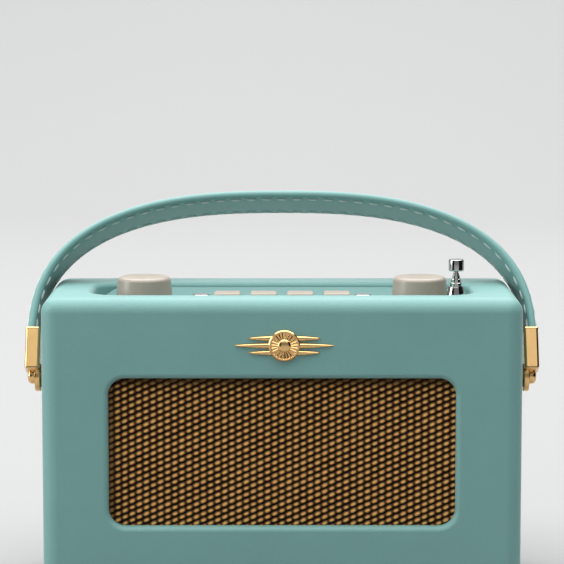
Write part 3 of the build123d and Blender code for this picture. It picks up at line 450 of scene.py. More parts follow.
class Tone(Enum):
    """The radio's finishes."""

    COVER = Leathercloth("teal leathercloth", (0.150, 0.315, 0.297))
    STRAP = Leathercloth("strap leathercloth", (0.158, 0.325, 0.305), grain=0.65, depth=0.045)
    YARN = Yarn("grille yarn", (0.95, 0.51, 0.16))
    BACKING = FibreBoard("grille backing", (0.014, 0.005, 0.001), 0.6, 0.8, 0.1)
    THREAD = Thread("grey thread", (0.56, 0.66, 0.63))
    GOLD = PolishedMetal("gold metal", (0.78, 0.50, 0.215), 0.10, 0.10)
    CHROME = PolishedMetal("chromed metal", (0.52, 0.52, 0.50), 0.05, 0.05)
    STEEL = PolishedMetal("plated steel", (0.48, 0.48, 0.47), 0.26, 0.16)
    IVORY = Moulding("ivory plastic", (0.34, 0.293, 0.241), 0.34, 0.8, 0.006, 0.25)
    DECK = Moulding("deck paint", (0.120, 0.275, 0.262), 0.42, 0.5, 0.006, 0.1)
    BLACK = Moulding("black plastic", (0.022, 0.022, 0.023), 0.46, 0.45, 0.03)
    RUBBER = Moulding("foot rubber", (0.018, 0.018, 0.018), 0.72, 0.8, 0.03)
    NYLON = Moulding("nylon spacer", (0.55, 0.40, 0.20), 0.4)
    JACKET = Moulding("cell jacket", (0.10, 0.10, 0.12), 0.32)
    IRON = Moulding("magnet iron", (0.10, 0.10, 0.11), 0.5)
    BOARD = FibreBoard("cabinet board", (0.44, 0.30, 0.17))
    LAMINATE = FibreBoard("board laminate", (0.02, 0.13, 0.06), 0.5, 0.4)
    PAPER = FibreBoard("cone paper", (0.04, 0.04, 0.04), 0.8)
    LENS = Lens("display lens", (0.010, 0.012, 0.012))

    @property
    def material(self) -> bpy.types.Material:
        """The tone's shared material."""
        return self.value.material()


# ------------------------------------------------------------------ mesh making


def rounded_ring(width: float, depth: float, corner: float, z: float, count: int = 9) -> list[Vector]:
    """A level rounded rectangle about the origin.

    Args:
        width: Size along X.
        depth: Size along Y.
        corner: Corner radius.
        z: Height of the ring.
        count: Points on each corner.

    Returns:
        The ring's points, anticlockwise from above.
    """
    corner = min(corner, width / 2 - 1e-4, depth / 2 - 1e-4)
    points = []
    for quarter in range(4):
        start = quarter * math.pi / 2
        sign_x = 1 if quarter in (0, 3) else -1
        sign_y = 1 if quarter in (0, 1) else -1
        for step in range(count):
            turn = start + step / (count - 1) * math.pi / 2
            points.append(
                Vector(
                    (
                        sign_x * (width / 2 - corner) + corner * math.cos(turn),
                        sign_y * (depth / 2 - corner) + corner * math.sin(turn),
                        z,
                    )
                )
            )
    return points


def circle_ring(radius: float, z: float, count: int = 72) -> list[Vector]:
    """A level circle about the origin, anticlockwise from above."""
    turns = [2 * math.pi * step / count for step in range(count)]
    return [Vector((radius * math.cos(turn), radius * math.sin(turn), z)) for turn in turns]


def arc(start: float, end: float, count: int) -> list[float]:
    """Angles in radians, evenly spaced from start to end degrees."""
    return [math.radians(start + (end - start) * step / (count - 1)) for step in range(count)]


def spaced(points: Sequence[Vector], gap: float) -> list[tuple[Vector, Vector]]:
    """Walk a polyline at even steps.

    Args:
        points: The polyline, which turns left as it goes.
        gap: About how far apart the steps are.

    Returns:
        Each step's point and its direction away from the curve's inside.
    """
    lengths = [0.0]
    for before, after in zip(points, points[1:]):
        lengths.append(lengths[-1] + (after - before).length)
    count = round(lengths[-1] / gap)
    walked = []
    index = 0
    for step in range(count + 1):
        target = lengths[-1] * step / count
        while index < len(points) - 2 and lengths[index + 1] < target:
            index += 1
        share = (target - lengths[index]) / max(lengths[index + 1] - lengths[index], 1e-9)
        walked.append(points[index].lerp(points[index + 1], share))
    result = []
    for step, point in enumerate(walked):
        before = walked[max(step - 1, 0)]
        after = walked[min(step + 1, count)]
        ahead = (after - before).normalized()
        result.append((point, Vector((ahead.y, -ahead.x, 0))))
    return result


def skin_loop(
    mesh: bmesh.types.BMesh, rings: Sequence[Sequence[Vector]], place: Matrix
) -> list[list[bmesh.types.BMVert]]:
    """Join rings of equal count into a wall, which is closed where the last ring lies on the first.

    Args:
        mesh: The mesh to add to.
        rings: The rings in order, in millimetres.
        place: Turns the rings' frame into the radio's frame, in millimetres.

    Returns:
        The rings' vertices.
    """
    made = [[mesh.verts.new((place @ point) * MM) for point in ring] for ring in rings]
    for lower, upper in zip(made, made[1:]):
        for index in range(len(lower)):
            after = (index + 1) % len(lower)
            mesh.faces.new((lower[index], lower[after], upper[after], upper[index]))
    return made


def skin(mesh: bmesh.types.BMesh, rings: Sequence[Sequence[Vector]], place: Matrix) -> None:
    """Join rings of equal count into a closed form, with a pole at each end.

    Args:
        mesh: The mesh to add to.
        rings: The rings in order, in millimetres.
        place: Turns the rings' frame into the radio's frame, in millimetres.
    """
    made = skin_loop(mesh, rings, place)
    for ring, flipped in ((made[0], True), (made[-1], False)):
        centre = mesh.verts.new(sum((vert.co for vert in ring), Vector()) / len(ring))
        for index, vert in enumerate(ring):
            after = ring[(index + 1) % len(ring)]
            mesh.faces.new((after, vert, centre) if flipped else (vert, after, centre))


def smooth_object(name: str, mesh: bmesh.types.BMesh, tone: Tone, sharp: float) -> bpy.types.Object:
    """Turn a bmesh into a linked, smooth-shaded object.

    Args:
        name: The object's name.
        mesh: The mesh, which is freed.
        tone: Its finish.
        sharp: Edges sharper than this many degrees stay sharp.

    Returns:
        The object, at the origin.
    """
    data = bpy.data.meshes.new(name)
    mesh.to_mesh(data)
    mesh.free()
    data.materials.append(tone.material)
    data.shade_smooth()
    data.set_sharp_from_angle(angle=math.radians(sharp))
    made = bpy.data.objects.new(name, data)
    bpy.context.scene.collection.objects.link(made)
    return made


def finish_mesh(name: str, mesh: bmesh.types.BMesh, tone: Tone, sharp: float = 35.0) -> bpy.types.Object:
    """Close a bmesh's seams, point its faces outwards and make it an object.

    Args:
        name: The piece's name.
        mesh: The mesh, which is freed.
        tone: Its finish.
        sharp: Edges sharper than this many degrees stay sharp.

    Returns:
        The linked object, at the origin.
    """
    bmesh.ops.remove_doubles(mesh, verts=mesh.verts, dist=1e-6)
    bmesh.ops.recalc_face_normals(mesh, faces=mesh.faces)
    return level(smooth_object(name, mesh, tone, sharp))


def bake_modifiers(piece: bpy.types.Object) -> None:
    """Apply every modifier of a piece to its mesh.

    Args:
        piece: The piece.
    """
    graph = bpy.context.evaluated_depsgraph_get()
    data = bpy.data.meshes.new_from_object(piece.evaluated_get(graph), depsgraph=graph)
    piece.modifiers.clear()
    piece.data = data


def level(piece: bpy.types.Object) -> bpy.types.Object:
    """Weigh a piece's normals by area, so that flat faces shade flat beside their rounded edges.

    Args:
        piece: The piece.

    Returns:
        The same piece.
    """
    weight = piece.modifiers.new("flat faces", "WEIGHTED_NORMAL")
    weight.keep_sharp = True
    bake_modifiers(piece)
    return piece


def carve(piece: bpy.types.Object, tool: bpy.types.Object, mends_itself: bool = False) -> None:
    """Cut a tool's shape out of a piece and remove the tool.

    Args:
        piece: The piece to cut.
        tool: The solid to take away.
        mends_itself: Whether the piece is made of shells that pass through each other.
    """
    cut = piece.modifiers.new("cut", "BOOLEAN")
    cut.operation = "DIFFERENCE"
    cut.solver = "EXACT"
    cut.use_self = mends_itself
    cut.object = tool
    bake_modifiers(piece)
    bpy.data.objects.remove(tool)


def mount(piece: bpy.types.Object, body: str, nodes: Iterable[str] = ()) -> bpy.types.Object:
    """Put a finished piece on its body.

    Args:
        piece: The piece.
        body: The body that it rides on.
        nodes: The frame's nodes that it stands for.

    Returns:
        The piece.
    """
    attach(piece, body)
    if nodes:
        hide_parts(*nodes)
    LOG.info("%s: %d faces on %s", piece.name, len(piece.data.polygons), body)
    return piece


def turned(
    name: str, profile: Sequence[tuple[float, float]], place: Matrix, tone: Tone, count: int = 72
) -> bpy.types.Object:
    """A turned piece.

    Args:
        name: The piece's name.
        profile: Radius and height pairs, from the bottom up.
        place: The frame of its axis.
        tone: Its finish.
        count: Points round it.

    Returns:
        The object.
    """
    mesh = bmesh.new()
    skin(mesh, [circle_ring(radius, height, count) for radius, height in profile], place)
    return finish_mesh(name, mesh, tone)


def eased(node: str, tone: Tone, edge: float, body: str) -> bpy.types.Object:
    """A copy of a frame node with its triangles merged and its edges broken.

    Args:
        node: The frame's node.
        tone: Its finish.
        edge: Width of the edge break in millimetres, or 0 for none.
        body: The body that it rides on.

    Returns:
        The mounted piece.
    """
    mesh = bmesh.new()
    mesh.from_mesh(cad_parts[node].data)
    bmesh.ops.remove_doubles(mesh, verts=mesh.verts, dist=2e-6)
    bmesh.ops.dissolve_limit(mesh, angle_limit=math.radians(0.4), verts=mesh.verts, edges=mesh.edges)
    sharp = 32.0
    piece = smooth_object(f"{node}_dressed", mesh, tone, sharp)
    if edge:
        bevel = piece.modifiers.new("edge", "BEVEL")
        bevel.width = edge * MM
        bevel.segments = 2
        bevel.limit_method = "ANGLE"
        bevel.angle_limit = math.radians(sharp)
        bevel.use_clamp_overlap = True
    return mount(level(piece), body, [node])


# ------------------------------------------------------------------ geometry nodes


class NodeRecipe:
    """A geometry node tree under construction, with named inputs."""

    KINDS = {
        float: "NodeSocketFloat",
        int: "NodeSocketInt",
        bpy.types.Material: "NodeSocketMaterial",
        bpy.types.Object: "NodeSocketObject",
    }

    def __init__(self, name: str, inputs: dict[str, object]) -> None:
        """Start a tree.

        Args:
            name: The tree's name.
            inputs: Each input's name and value.
        """
        self.tree = bpy.data.node_groups.new(name, "GeometryNodeTree")
        self.values = inputs
        self.sockets = {}
        self.tree.interface.new_socket("Geometry", in_out="INPUT", socket_type="NodeSocketGeometry")
        for label, value in inputs.items():
            kind = next(kind for cls, kind in self.KINDS.items() if isinstance(value, cls))
            self.sockets[label] = self.tree.interface.new_socket(label, in_out="INPUT", socket_type=kind)
        self.tree.interface.new_socket("Geometry", in_out="OUTPUT", socket_type="NodeSocketGeometry")
        self.entry = self.tree.nodes.new("NodeGroupInput")

    def given(self, label: str) -> bpy.types.NodeSocket:
        """The tree's own input of that name."""
        return self.entry.outputs[label]

    def node(
        self, kind: str, settings: dict, inputs: dict, output: Union[int, str] = 0
    ) -> bpy.types.NodeSocket:
        """Add a node and return one of its outputs.

        Args:
            kind: The node's type name.
            settings: Attributes, set before the sockets.
            inputs: Values or sockets by name or index.
            output: The output to return.

        Returns:
            The output socket.
        """
        made = self.tree.nodes.new(kind)
        for name, value in settings.items():
            setattr(made, name, value)
        for name, value in inputs.items():
            if isinstance(value, bpy.types.NodeSocket):
                self.tree.links.new(value, made.inputs[name])
            else:
                made.inputs[name].default_value = value
        return made.outputs[output]

    def math(self, operation: str, *operands: object) -> bpy.types.NodeSocket:
        """Add a Math node on sockets or numbers."""
        return self.node("ShaderNodeMath", {"operation": operation}, dict(enumerate(operands)))

    def vector(self, x: object, y: object, z: object) -> bpy.types.NodeSocket:
        """Join three sockets or numbers into a vector."""
        return self.node("ShaderNodeCombineXYZ", {}, {0: x, 1: y, 2: z})

    def build(self, host: bpy.types.Object, instances: bpy.types.NodeSocket, material: str) -> None:
        """Realise the instances, give them their material and replace the host's mesh.

        Args:
            host: The mesh object that the tree runs on.
            instances: The geometry to finish.
            material: The label of the material input.
        """
        real = self.node("GeometryNodeRealizeInstances", {}, {"Geometry": instances})
        dressed = self.node(
            "GeometryNodeSetMaterial", {}, {"Geometry": real, "Material": self.given(material)}
        )
        leave = self.tree.nodes.new("NodeGroupOutput")
        self.tree.links.new(dressed, leave.inputs[0])
        modifier = host.modifiers.new(self.tree.name, "NODES")
        modifier.node_group = self.tree
        for label, value in self.values.items():
            modifier[self.sockets[label].identifier] = value
        bake_modifiers(host)
        host.data.shade_smooth()


def line_host(name: str, lines: Sequence[Sequence[Vector]]) -> bpy.types.Object:
    """A mesh of open polylines, or of loose points where a line has one point.

    Args:
        name: The object's name.
        lines: The polylines' points, in millimetres.

    Returns:
        The linked object.
    """
    points = []
    edges = []
    for line in lines:
        edges += [(len(points) + step, len(points) + step + 1) for step in range(len(line) - 1)]
        points += [point * MM for point in line]
    data = bpy.data.meshes.new(name)
    data.from_pydata(points, edges, [])
    made = bpy.data.objects.new(name, data)
    bpy.context.scene.collection.objects.link(made)
    return made


def stitch_rows(
    name: str, rows: Sequence[Sequence[Vector]], pitch: float, length: float, thick: float
) -> bpy.types.Object:
    """Rows of sewn stitches along polylines.

    Args:
        name: The piece's name.
        rows: The seam lines, in millimetres.
        pitch: Distance from one stitch to the next.
        length: Each stitch's length.
        thick: The thread's thickness.

    Returns:
        The stitches as one mesh.
    """
    host = line_host(name, rows)
    recipe = NodeRecipe(
        "Stitch rows",
        {
            "Pitch": pitch * MM,
            "Stitch length": length * MM,
            "Thread": thick * MM,
            "Unevenness": 0.05,
            "Seed": 4,
            "Finish": Tone.THREAD.material,
        },
    )
    curve = recipe.node("GeometryNodeMeshToCurve", {}, {"Mesh": recipe.given("Geometry")})
    spots = recipe.node(
        "GeometryNodeCurveToPoints", {"mode": "LENGTH"}, {"Curve": curve, "Length": recipe.given("Pitch")}
    ).node
    along = recipe.node(
        "FunctionNodeAlignEulerToVector",
        {"axis": "X", "pivot_axis": "AUTO"},
        {"Vector": spots.outputs["Tangent"]},
    )
    ball = recipe.node("GeometryNodeMeshUVSphere", {}, {"Segments": 8, "Rings": 7, "Radius": 0.5})
    shape = recipe.vector(recipe.given("Stitch length"), recipe.given("Thread"), recipe.given("Thread"))
    stitch = recipe.node("GeometryNodeTransform", {}, {"Geometry": ball, "Scale": shape})
    least = recipe.math("SUBTRACT", 1.0, recipe.given("Unevenness"))
    size = recipe.node(
        "FunctionNodeRandomValue",
        {"data_type": "FLOAT"},
        {2: least, 3: 1.0, "Seed": recipe.given("Seed")},
        1,
    )
    placed = recipe.node(
        "GeometryNodeInstanceOnPoints",
        {},
        {"Points": spots.outputs["Points"], "Instance": stitch, "Rotation": along, "Scale": size},
    )
    recipe.build(host, placed, "Finish")
    return host


def repeat_part(name: str, part: bpy.types.Object, centres: Sequence[Point], tone: Tone) -> bpy.types.Object:
    """Copies of a small part at points, as one mesh.

    Args:
        name: The piece's name.
        part: The part, made about the origin and removed afterwards.
        centres: Where the copies go, in millimetres.
        tone: Their finish.

    Returns:
        The copies as one mesh.
    """
    host = line_host(name, [[Vector(centre)] for centre in centres])
    recipe = NodeRecipe("Repeated part", {"Part": part, "Size": 1.0, "Finish": tone.material})
    pattern = recipe.node(
        "GeometryNodeObjectInfo",
        {"transform_space": "RELATIVE"},
        {"Object": recipe.given("Part")},
        "Geometry",
    )
    placed = recipe.node(
        "GeometryNodeInstanceOnPoints",
        {},
        {"Points": recipe.given("Geometry"), "Instance": pattern, "Scale": recipe.given("Size")},
    )
    recipe.build(host, placed, "Finish")
    bpy.data.objects.remove(part)
    return host


# ------------------------------------------------------------------ cabinet


@dataclass
class Cabinet:
    """The cover, grille, emblem, rear panel and feet."""

    grille_width: float = 182.0
    grille_height: float = 78.5
    grille_z: float = 78.75
    cloth_y: float = -46.8
    cloth: float = 0.8
    cloth_lap: float = 8.0
    yarn_pitch: float = 3.75
    yarn_rise: float = 3.4
    yarn_length: float = 5.0
    yarn_width: float = 2.85
    yarn_height: float = 1.5
    screw_radius: float = 3.0

    def build(self) -> None:
        """Make and mount every cabinet piece."""
        eased("leather_cover", Tone.COVER, 0.0, "cabinet")
        self.grille()
        Emblem().build()
        eased("rear_panel", Tone.BLACK, 0.3, "cabinet")
        eased("battery_door", Tone.BLACK, 0.3, "door")
        for node in ("headphone_socket", "aux_socket", "dc_socket"):
            eased(node, Tone.BLACK, 0.15, "cabinet")
        eased("feet", Tone.RUBBER, 0.4, "cabinet")
        self.panel_screws()

    def grille(self) -> None:
        """The backing cloth and the raised yarn that lies on it."""
        mesh = bmesh.new()
        width = self.grille_width + 2 * self.cloth_lap
        height = self.grille_height + 2 * self.cloth_lap
        rings = [rounded_ring(width, height, 1.0, z, 4) for z in (0.0, self.cloth)]
        place = Matrix.Translation((0, self.cloth_y + self.cloth, self.grille_z)) @ FACING_FRONT
        skin(mesh, rings, place)
        backing = mount(
            finish_mesh("grille_backing", mesh, Tone.BACKING), "cabinet", ["grille_cloth"]
        )
        weave = mount(self.weave(), "cabinet")

    def weave(self) -> bpy.types.Object:
        """The gold yarn: a staggered lattice of slanted floats that run on into each other.

        Returns:
            The yarn as one mesh.
        """
        host = line_host("grille_weave", [[Vector()]])
        pitch = self.yarn_pitch
        rise = self.yarn_rise
        columns = math.ceil(self.grille_width / pitch) + 2
        rows = math.ceil(self.grille_height / rise) + 2
        recipe = NodeRecipe(
            "Grille weave",
            {
                "Columns": columns,
                "Rows": rows,
                "Column pitch": pitch * MM,
                "Row pitch": rise * MM,
                "Float length": self.yarn_length * MM,
                "Float width": self.yarn_width * MM,
                "Float height": self.yarn_height * MM,
                "Slant": math.atan2(rise / 2, pitch),
                "Seed": 11,
                "Finish": Tone.YARN.material,
            },
        )
        given, node, math_node = recipe.given, recipe.node, recipe.math
        span_x = math_node("MULTIPLY", math_node("SUBTRACT", given("Columns"), 1.0), given("Column pitch"))
        span_y = math_node("MULTIPLY", math_node("SUBTRACT", given("Rows"), 1.0), given("Row pitch"))
        lattice = node(
            "GeometryNodeMeshGrid",
            {},
            {
                "Size X": span_x,
                "Size Y": span_y,
                "Vertices X": given("Columns"),
                "Vertices Y": given("Rows"),
            },
        )
        place = node("GeometryNodeInputPosition", {}, {})
        across = node("ShaderNodeSeparateXYZ", {}, {0: place}, 0)
        shifted = math_node("ADD", across, math_node("MULTIPLY", span_x, 0.5))
        column = math_node("ROUND", math_node("DIVIDE", shifted, given("Column pitch")))
        odd = math_node("FLOORED_MODULO", column, 2.0)
        offset = math_node("MULTIPLY", odd, math_node("MULTIPLY", given("Row pitch"), 0.5))
        staggered = node(
            "GeometryNodeSetPosition", {}, {"Geometry": lattice, "Offset": recipe.vector(0.0, offset, 0.0)}
        )
        ball = node("GeometryNodeMeshUVSphere", {}, {"Segments": 8, "Rings": 6, "Radius": 0.5})
        lift = node("ShaderNodeSeparateXYZ", {}, {0: place}, 2)
        crowned = node(
            "GeometryNodeStoreNamedAttribute",
            {"data_type": "FLOAT", "domain": "POINT"},
            {"Geometry": ball, "Name": "crown", "Value": math_node("MULTIPLY", lift, 2.0)},
        )
        size = recipe.vector(given("Float length"), given("Float width"), given("Float height"))
        thread = node("GeometryNodeTransform", {}, {"Geometry": crowned, "Scale": size})
        chance = ("FunctionNodeRandomValue", {"data_type": "FLOAT"})
        sway = node(*chance, {2: -0.05, 3: 0.05, "Seed": given("Seed")}, 1)
        turn = recipe.vector(0.0, 0.0, math_node("ADD", given("Slant"), sway))
        swell = node(*chance, {2: 0.92, 3: 1.08, "Seed": given("Seed")}, 1)
        placed = node(
            "GeometryNodeInstanceOnPoints",
            {},
            {"Points": staggered, "Instance": thread, "Rotation": turn, "Scale": swell},
        )
        upright = node(
            "GeometryNodeTransform",
            {},
            {
                "Geometry": placed,
                "Rotation": (math.pi / 2, 0.0, 0.0),
                "Translation": (0.0, self.cloth_y * MM, (self.grille_z - rise / 4) * MM),
            },
        )
        recipe.build(host, upright, "Finish")
        return host

    def panel_screws(self) -> None:
        """Six pan-head screws with cross recesses in the rear panel."""
        radius = self.screw_radius
        head = [(0.0, 0.0), (radius - 0.1, 0.0), (radius, 0.35)]
        head += [(radius * math.cos(turn), 0.35 + 1.25 * math.sin(turn)) for turn in arc(15, 88, 7)]
        part = turned("screw_head", head, FACING_REAR, Tone.STEEL, 32)
        cut_slots(part, [(2.8, 0.6), (0.6, 2.8)], 0.9, 1.8)
        low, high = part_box("panel_screws")
        xs = (low[0] / MM + radius, high[0] / MM - radius)
        zs = (low[2] / MM + radius, (low[2] + high[2]) / MM / 2, high[2] / MM - radius)
        panel_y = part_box("rear_panel")[1][1] / MM
        centres = [(x, panel_y, z) for x in xs for z in zs]
        screws = repeat_part("panel_screw_heads", part, centres, Tone.STEEL)
        screws.data.set_sharp_from_angle(angle=math.radians(35))
        mount(screws, "cabinet", ["panel_screws"])


def cut_slots(
    part: bpy.types.Object, slots: Sequence[tuple[float, float]], floor: float, top: float
) -> None:
    """Cut driver slots into a head made in the rear-facing frame.

    Args:
        part: The head.
        slots: Each slot's width and height across the head.
        floor: Depth coordinate of the slots' floor.
        top: Depth coordinate above the head.
    """
    for width, height in slots:
        mesh = bmesh.new()
        skin(mesh, [rounded_ring(width, height, 0.1, z, 2) for z in (floor, top)], FACING_REAR)
        carve(part, finish_mesh("slot_tool", mesh, Tone.STEEL))


@dataclass
class Emblem:
    """A winged disc in polished gold metal."""

    x: float = 1.2
    y: float = -52.0
    z: float = 135.6
    width: float = 52.0
    disc: float = 8.2
    relief: float = 1.9
    bar: float = 1.5
    bar_pitch: float = 3.8
    rays: int = 24

    def build(self) -> None:
        """Make the disc and its six bars as one piece."""
        mesh = bmesh.new()
        place = Matrix.Translation((self.x, self.y, self.z)) @ FACING_FRONT
        self.face(mesh, place)
        for side in (-1, 1):
            for row, share in ((-1, 0.72), (0, 1.0), (1, 0.72)):
                self.feather(mesh, place, side, row * self.bar_pitch, share * self.width / 2)
        piece = finish_mesh("emblem_disc", mesh, Tone.GOLD, 30.0)
        mount(piece, "cabinet", ["emblem"])

    def face(self, mesh: bmesh.types.BMesh, place: Matrix) -> None:
        """The disc: a raised rim, a fluted field and a domed centre.

        Args:
            mesh: The mesh to add to.
            place: The emblem's frame.
        """
        count = self.rays * 6
        profile = [
            (self.disc, 0.0),
            (self.disc, self.relief - 0.5),
            (self.disc - 0.5, self.relief),
            (self.disc - 1.2, self.relief),
            (self.disc - 1.5, self.relief - 0.6),
            (3.4, self.relief - 0.6),
            (3.1, self.relief - 0.1),
            (2.4, self.relief + 0.35),
            (1.2, self.relief + 0.6),
        ]
        rings = [circle_ring(radius, height, count) for radius, height in profile]
        for ring, flute in ((rings[4], 0.45), (rings[5], 0.25)):
            for index, point in enumerate(ring):
                point.z += flute * abs(math.cos(index / count * self.rays * math.pi))
        skin(mesh, rings, place)

    def feather(
        self, mesh: bmesh.types.BMesh, place: Matrix, side: int, rise: float, reach: float
    ) -> None:
        """One tapering bar with a rounded back.

        Args:
            mesh: The mesh to add to.
            place: The emblem's frame.
            side: -1 for left, 1 for right.
            rise: Height above the disc's centre.
            reach: Distance from the centre to the tip.
        """
        stations = 14
        root = math.sqrt(max((self.disc - 1.0) ** 2 - rise**2, 1.0))
        rings = []
        for step in range(stations):
            share = step / (stations - 1)
            x = side * (root + (reach - root) * share)
            half = self.bar * (1 - 0.72 * share**1.5) * min(1.0, (1 - share) * 9 + 0.15)
            crown = self.relief * 0.85 * (1 - 0.45 * share) * min(1.0, (1 - share) * 6 + 0.2)
            rings.append(
                [
                    Vector((x, rise + half * math.cos(turn), max(crown * math.sin(turn), 0)))
                    for turn in arc(0, 180, 11)
                ]
            )
        skin(mesh, rings, place)


# ------------------------------------------------------------------ top controls


@dataclass
class Controls:
    """The painted deck with its knobs, keys, buttons and display window."""

    deck_z: float = 151.8
    row_y: float = -4.0
    knob_x: float = 74.0
    knob_base: float = 15.25
    knob_top: float = 14.25
    knob_height: float = 13.3
    knob_rise: float = 1.4
    key_y: float = -8.0
    key_size: float = 15.0
    key_rise: float = 6.7
    button_x: float = 43.3
    button_radius: float = 4.9
    button_rise: float = 6.0
    cap_drop: float = 5.6

    def build(self) -> None:
        """Make and mount the deck and all that stands on it."""
        eased("control_deck", Tone.DECK, 0.2, "cabinet")
        self.window()
        self.knob("volume_knob", -self.knob_x, "volume_dial")
        self.knob("tuning_knob", self.knob_x, "tuning_dial")
        for index in range(1, 5):
            self.key(index)
        for side, name in ((-1, "standby"), (1, "info")):
            self.button(name, side * self.button_x)

    def window(self) -> None:
        """The display lens and the thin bright bezel round it."""
        low, high = (Vector(corner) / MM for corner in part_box("display_window"))
        centre = (low + high) / 2
        size = high - low
        mesh = bmesh.new()
        lens = Matrix.Translation((centre.x, centre.y, 0))
        levels = [(0.0, low.z), (0.0, high.z - 0.4), (0.12, high.z - 0.12), (0.4, high.z)]
        skin(mesh, [rounded_ring(size.x - 2 * i, size.y - 2 * i, 0.6, z, 5) for i, z in levels], lens)
        piece = finish_mesh("display_lens", mesh, Tone.LENS)
        mount(piece, "cabinet", ["display_window"])
        mesh = bmesh.new()
        loops = [(0.1, 0.0), (1.5, 0.0), (1.5, 0.35), (1.25, 0.6), (0.4, 0.6), (0.1, 0.35), (0.1, 0.0)]
        rings = [
            rounded_ring(size.x + 2 * out, size.y + 2 * out, 0.8 + out, self.deck_z + up, 6)
            for out, up in loops
        ]
        skin_loop(mesh, rings, lens)
        mount(finish_mesh("display_bezel", mesh, Tone.CHROME), "cabinet")

    def knob(self, node: str, x: float, body: str) -> None:
        """A smooth ivory knob with a rounded rim and a shallow turned dish.

        Args:
            node: The frame's node.
            x: Its axis.
            body: The body that it turns with.
        """
        top = self.knob_height
        rim = 2.4
        profile = [(9.7, 0.0), (self.knob_base - 0.5, 0.0), (self.knob_base, 0.5)]
        profile += [(self.knob_base - 0.05, 1.6), (self.knob_base - 0.28, 1.75)]
        profile += [(self.knob_base - 0.14, 2.0)]
        profile += [
            (self.knob_top - rim + rim * math.cos(turn) + 0.1, top - rim + rim * math.sin(turn))
            for turn in arc(4, 90, 9)
        ]
        profile += [(11.0, top), (10.6, top - 0.18), (10.2, top - 0.1)]
        profile += [(6.0, top - 0.42), (0.5, top - 0.5)]
        place = Matrix.Translation((x, self.row_y, self.deck_z + self.knob_rise))
        mount(turned(f"{node}_cap", profile, place, Tone.IVORY, 96), body, [node])

    def key(self, index: int) -> None:
        """One ivory key with rounded edges and a dished top.

        Args:
            index: Which key, from 1 at the left.
        """
        node = f"key_{index}"
        low, high = (Vector(corner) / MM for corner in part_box(node))
        centre = (low + high) / 2
        top = self.deck_z + self.key_rise
        edge = 1.1
        rings = [rounded_ring(self.key_size, self.key_size, 1.6, self.deck_z - self.cap_drop)]
        for turn in arc(0, 90, 6):
            inset = 2 * edge * (1 - math.cos(turn))
            size = self.key_size - 0.5 - inset
            rings.append(rounded_ring(size, size, 1.8, top - edge + edge * math.sin(turn)))
        for share, sink in ((0.72, 0.12), (0.5, 0.3), (0.25, 0.42), (0.05, 0.46)):
            size = (self.key_size - 2 * edge) * share
            rings.append(rounded_ring(size, size, size * 0.35, top - sink))
        mesh = bmesh.new()
        skin(mesh, rings, Matrix.Translation((centre.x, centre.y, 0)))
        mount(finish_mesh(f"{node}_cap", mesh, Tone.IVORY), f"key_cap_{index}", [node])

    def button(self, name: str, x: float) -> None:
        """A small domed chromed button in a thin collar.

        Args:
            name: The button's name.
            x: Its axis.
        """
        top = self.deck_z + self.button_rise
        radius = self.button_radius
        profile = [(radius, self.deck_z - self.cap_drop), (radius, top - 1.3)]
        profile += [
            (radius - 1.2 + 1.2 * math.cos(turn), top - 1.3 + math.sin(turn)) for turn in arc(10, 80, 6)
        ]
        profile += [(radius - 2.0, top - 0.12), (radius - 3.2, top - 0.03), (0.3, top)]
        place = Matrix.Translation((x, self.key_y, 0))
        piece = turned(f"{name}_button_cap", profile, place, Tone.CHROME, 64)
        mount(piece, f"{name}_cap", [f"{name}_button"])
        collar = [(0.3, 0.0), (1.2, 0.0), (1.1, 0.5), (0.5, 0.6), (0.3, 0.3), (0.3, 0.0)]
        mesh = bmesh.new()
        rings = [circle_ring(radius + out, self.deck_z + up, 64) for out, up in collar]
        skin_loop(mesh, rings, place)
        mount(finish_mesh(f"{name}_collar", mesh, Tone.CHROME), "cabinet")


# ------------------------------------------------------------------ aerial


@dataclass
class Aerial:
    """The telescopic aerial: chromed ferrule, tubes and cap."""

    x: float = 92.5
    y: float = -20.0
    deck_z: float = 151.8
    cap_foot: float = 19.4
    cap_height: float = 6.3
    cap_radius: float = 4.1

    def build(self) -> None:
        """Make the ferrule and the cap, and dress the tubes."""
        place = Matrix.Translation((self.x, self.y, self.deck_z))
        ferrule = [(4.4, -3.0), (4.5, 0.0), (5.6, 0.0), (5.6, 0.7), (5.2, 1.0), (5.2, 5.5)]
        ferrule += [(5.05, 5.9), (4.75, 6.1), (4.9, 6.5), (4.0, 10.6)]
        ferrule += [(3.7, 11.2), (3.3, 11.2), (3.25, 9.0)]
        piece = turned("ferrule_cone", ferrule, place, Tone.CHROME, 64)
        mount(piece, "cabinet", ["aerial_ferrule"])
        for stage in range(1, 5):
            eased(f"aerial_tube_{stage}", Tone.CHROME, 0.0, f"aerial_stage_{stage}")
        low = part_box("aerial_tip")[0][2] / MM - self.deck_z
        foot = self.cap_foot
        top = foot + self.cap_height
        radius = self.cap_radius
        cap = [(1.15, low), (1.15, foot), (radius - 0.7, foot), (radius - 0.15, foot + 0.25)]
        cap += [(radius, foot + 0.7), (radius, top - 1.0), (radius - 0.25, top - 0.35)]
        cap += [(radius - 0.8, top - 0.05), (0.4, top)]
        piece = turned("aerial_cap", cap, place, Tone.CHROME, 64)
        mount(piece, "aerial_stage_5", ["aerial_tip"])


# ------------------------------------------------------------------ handle


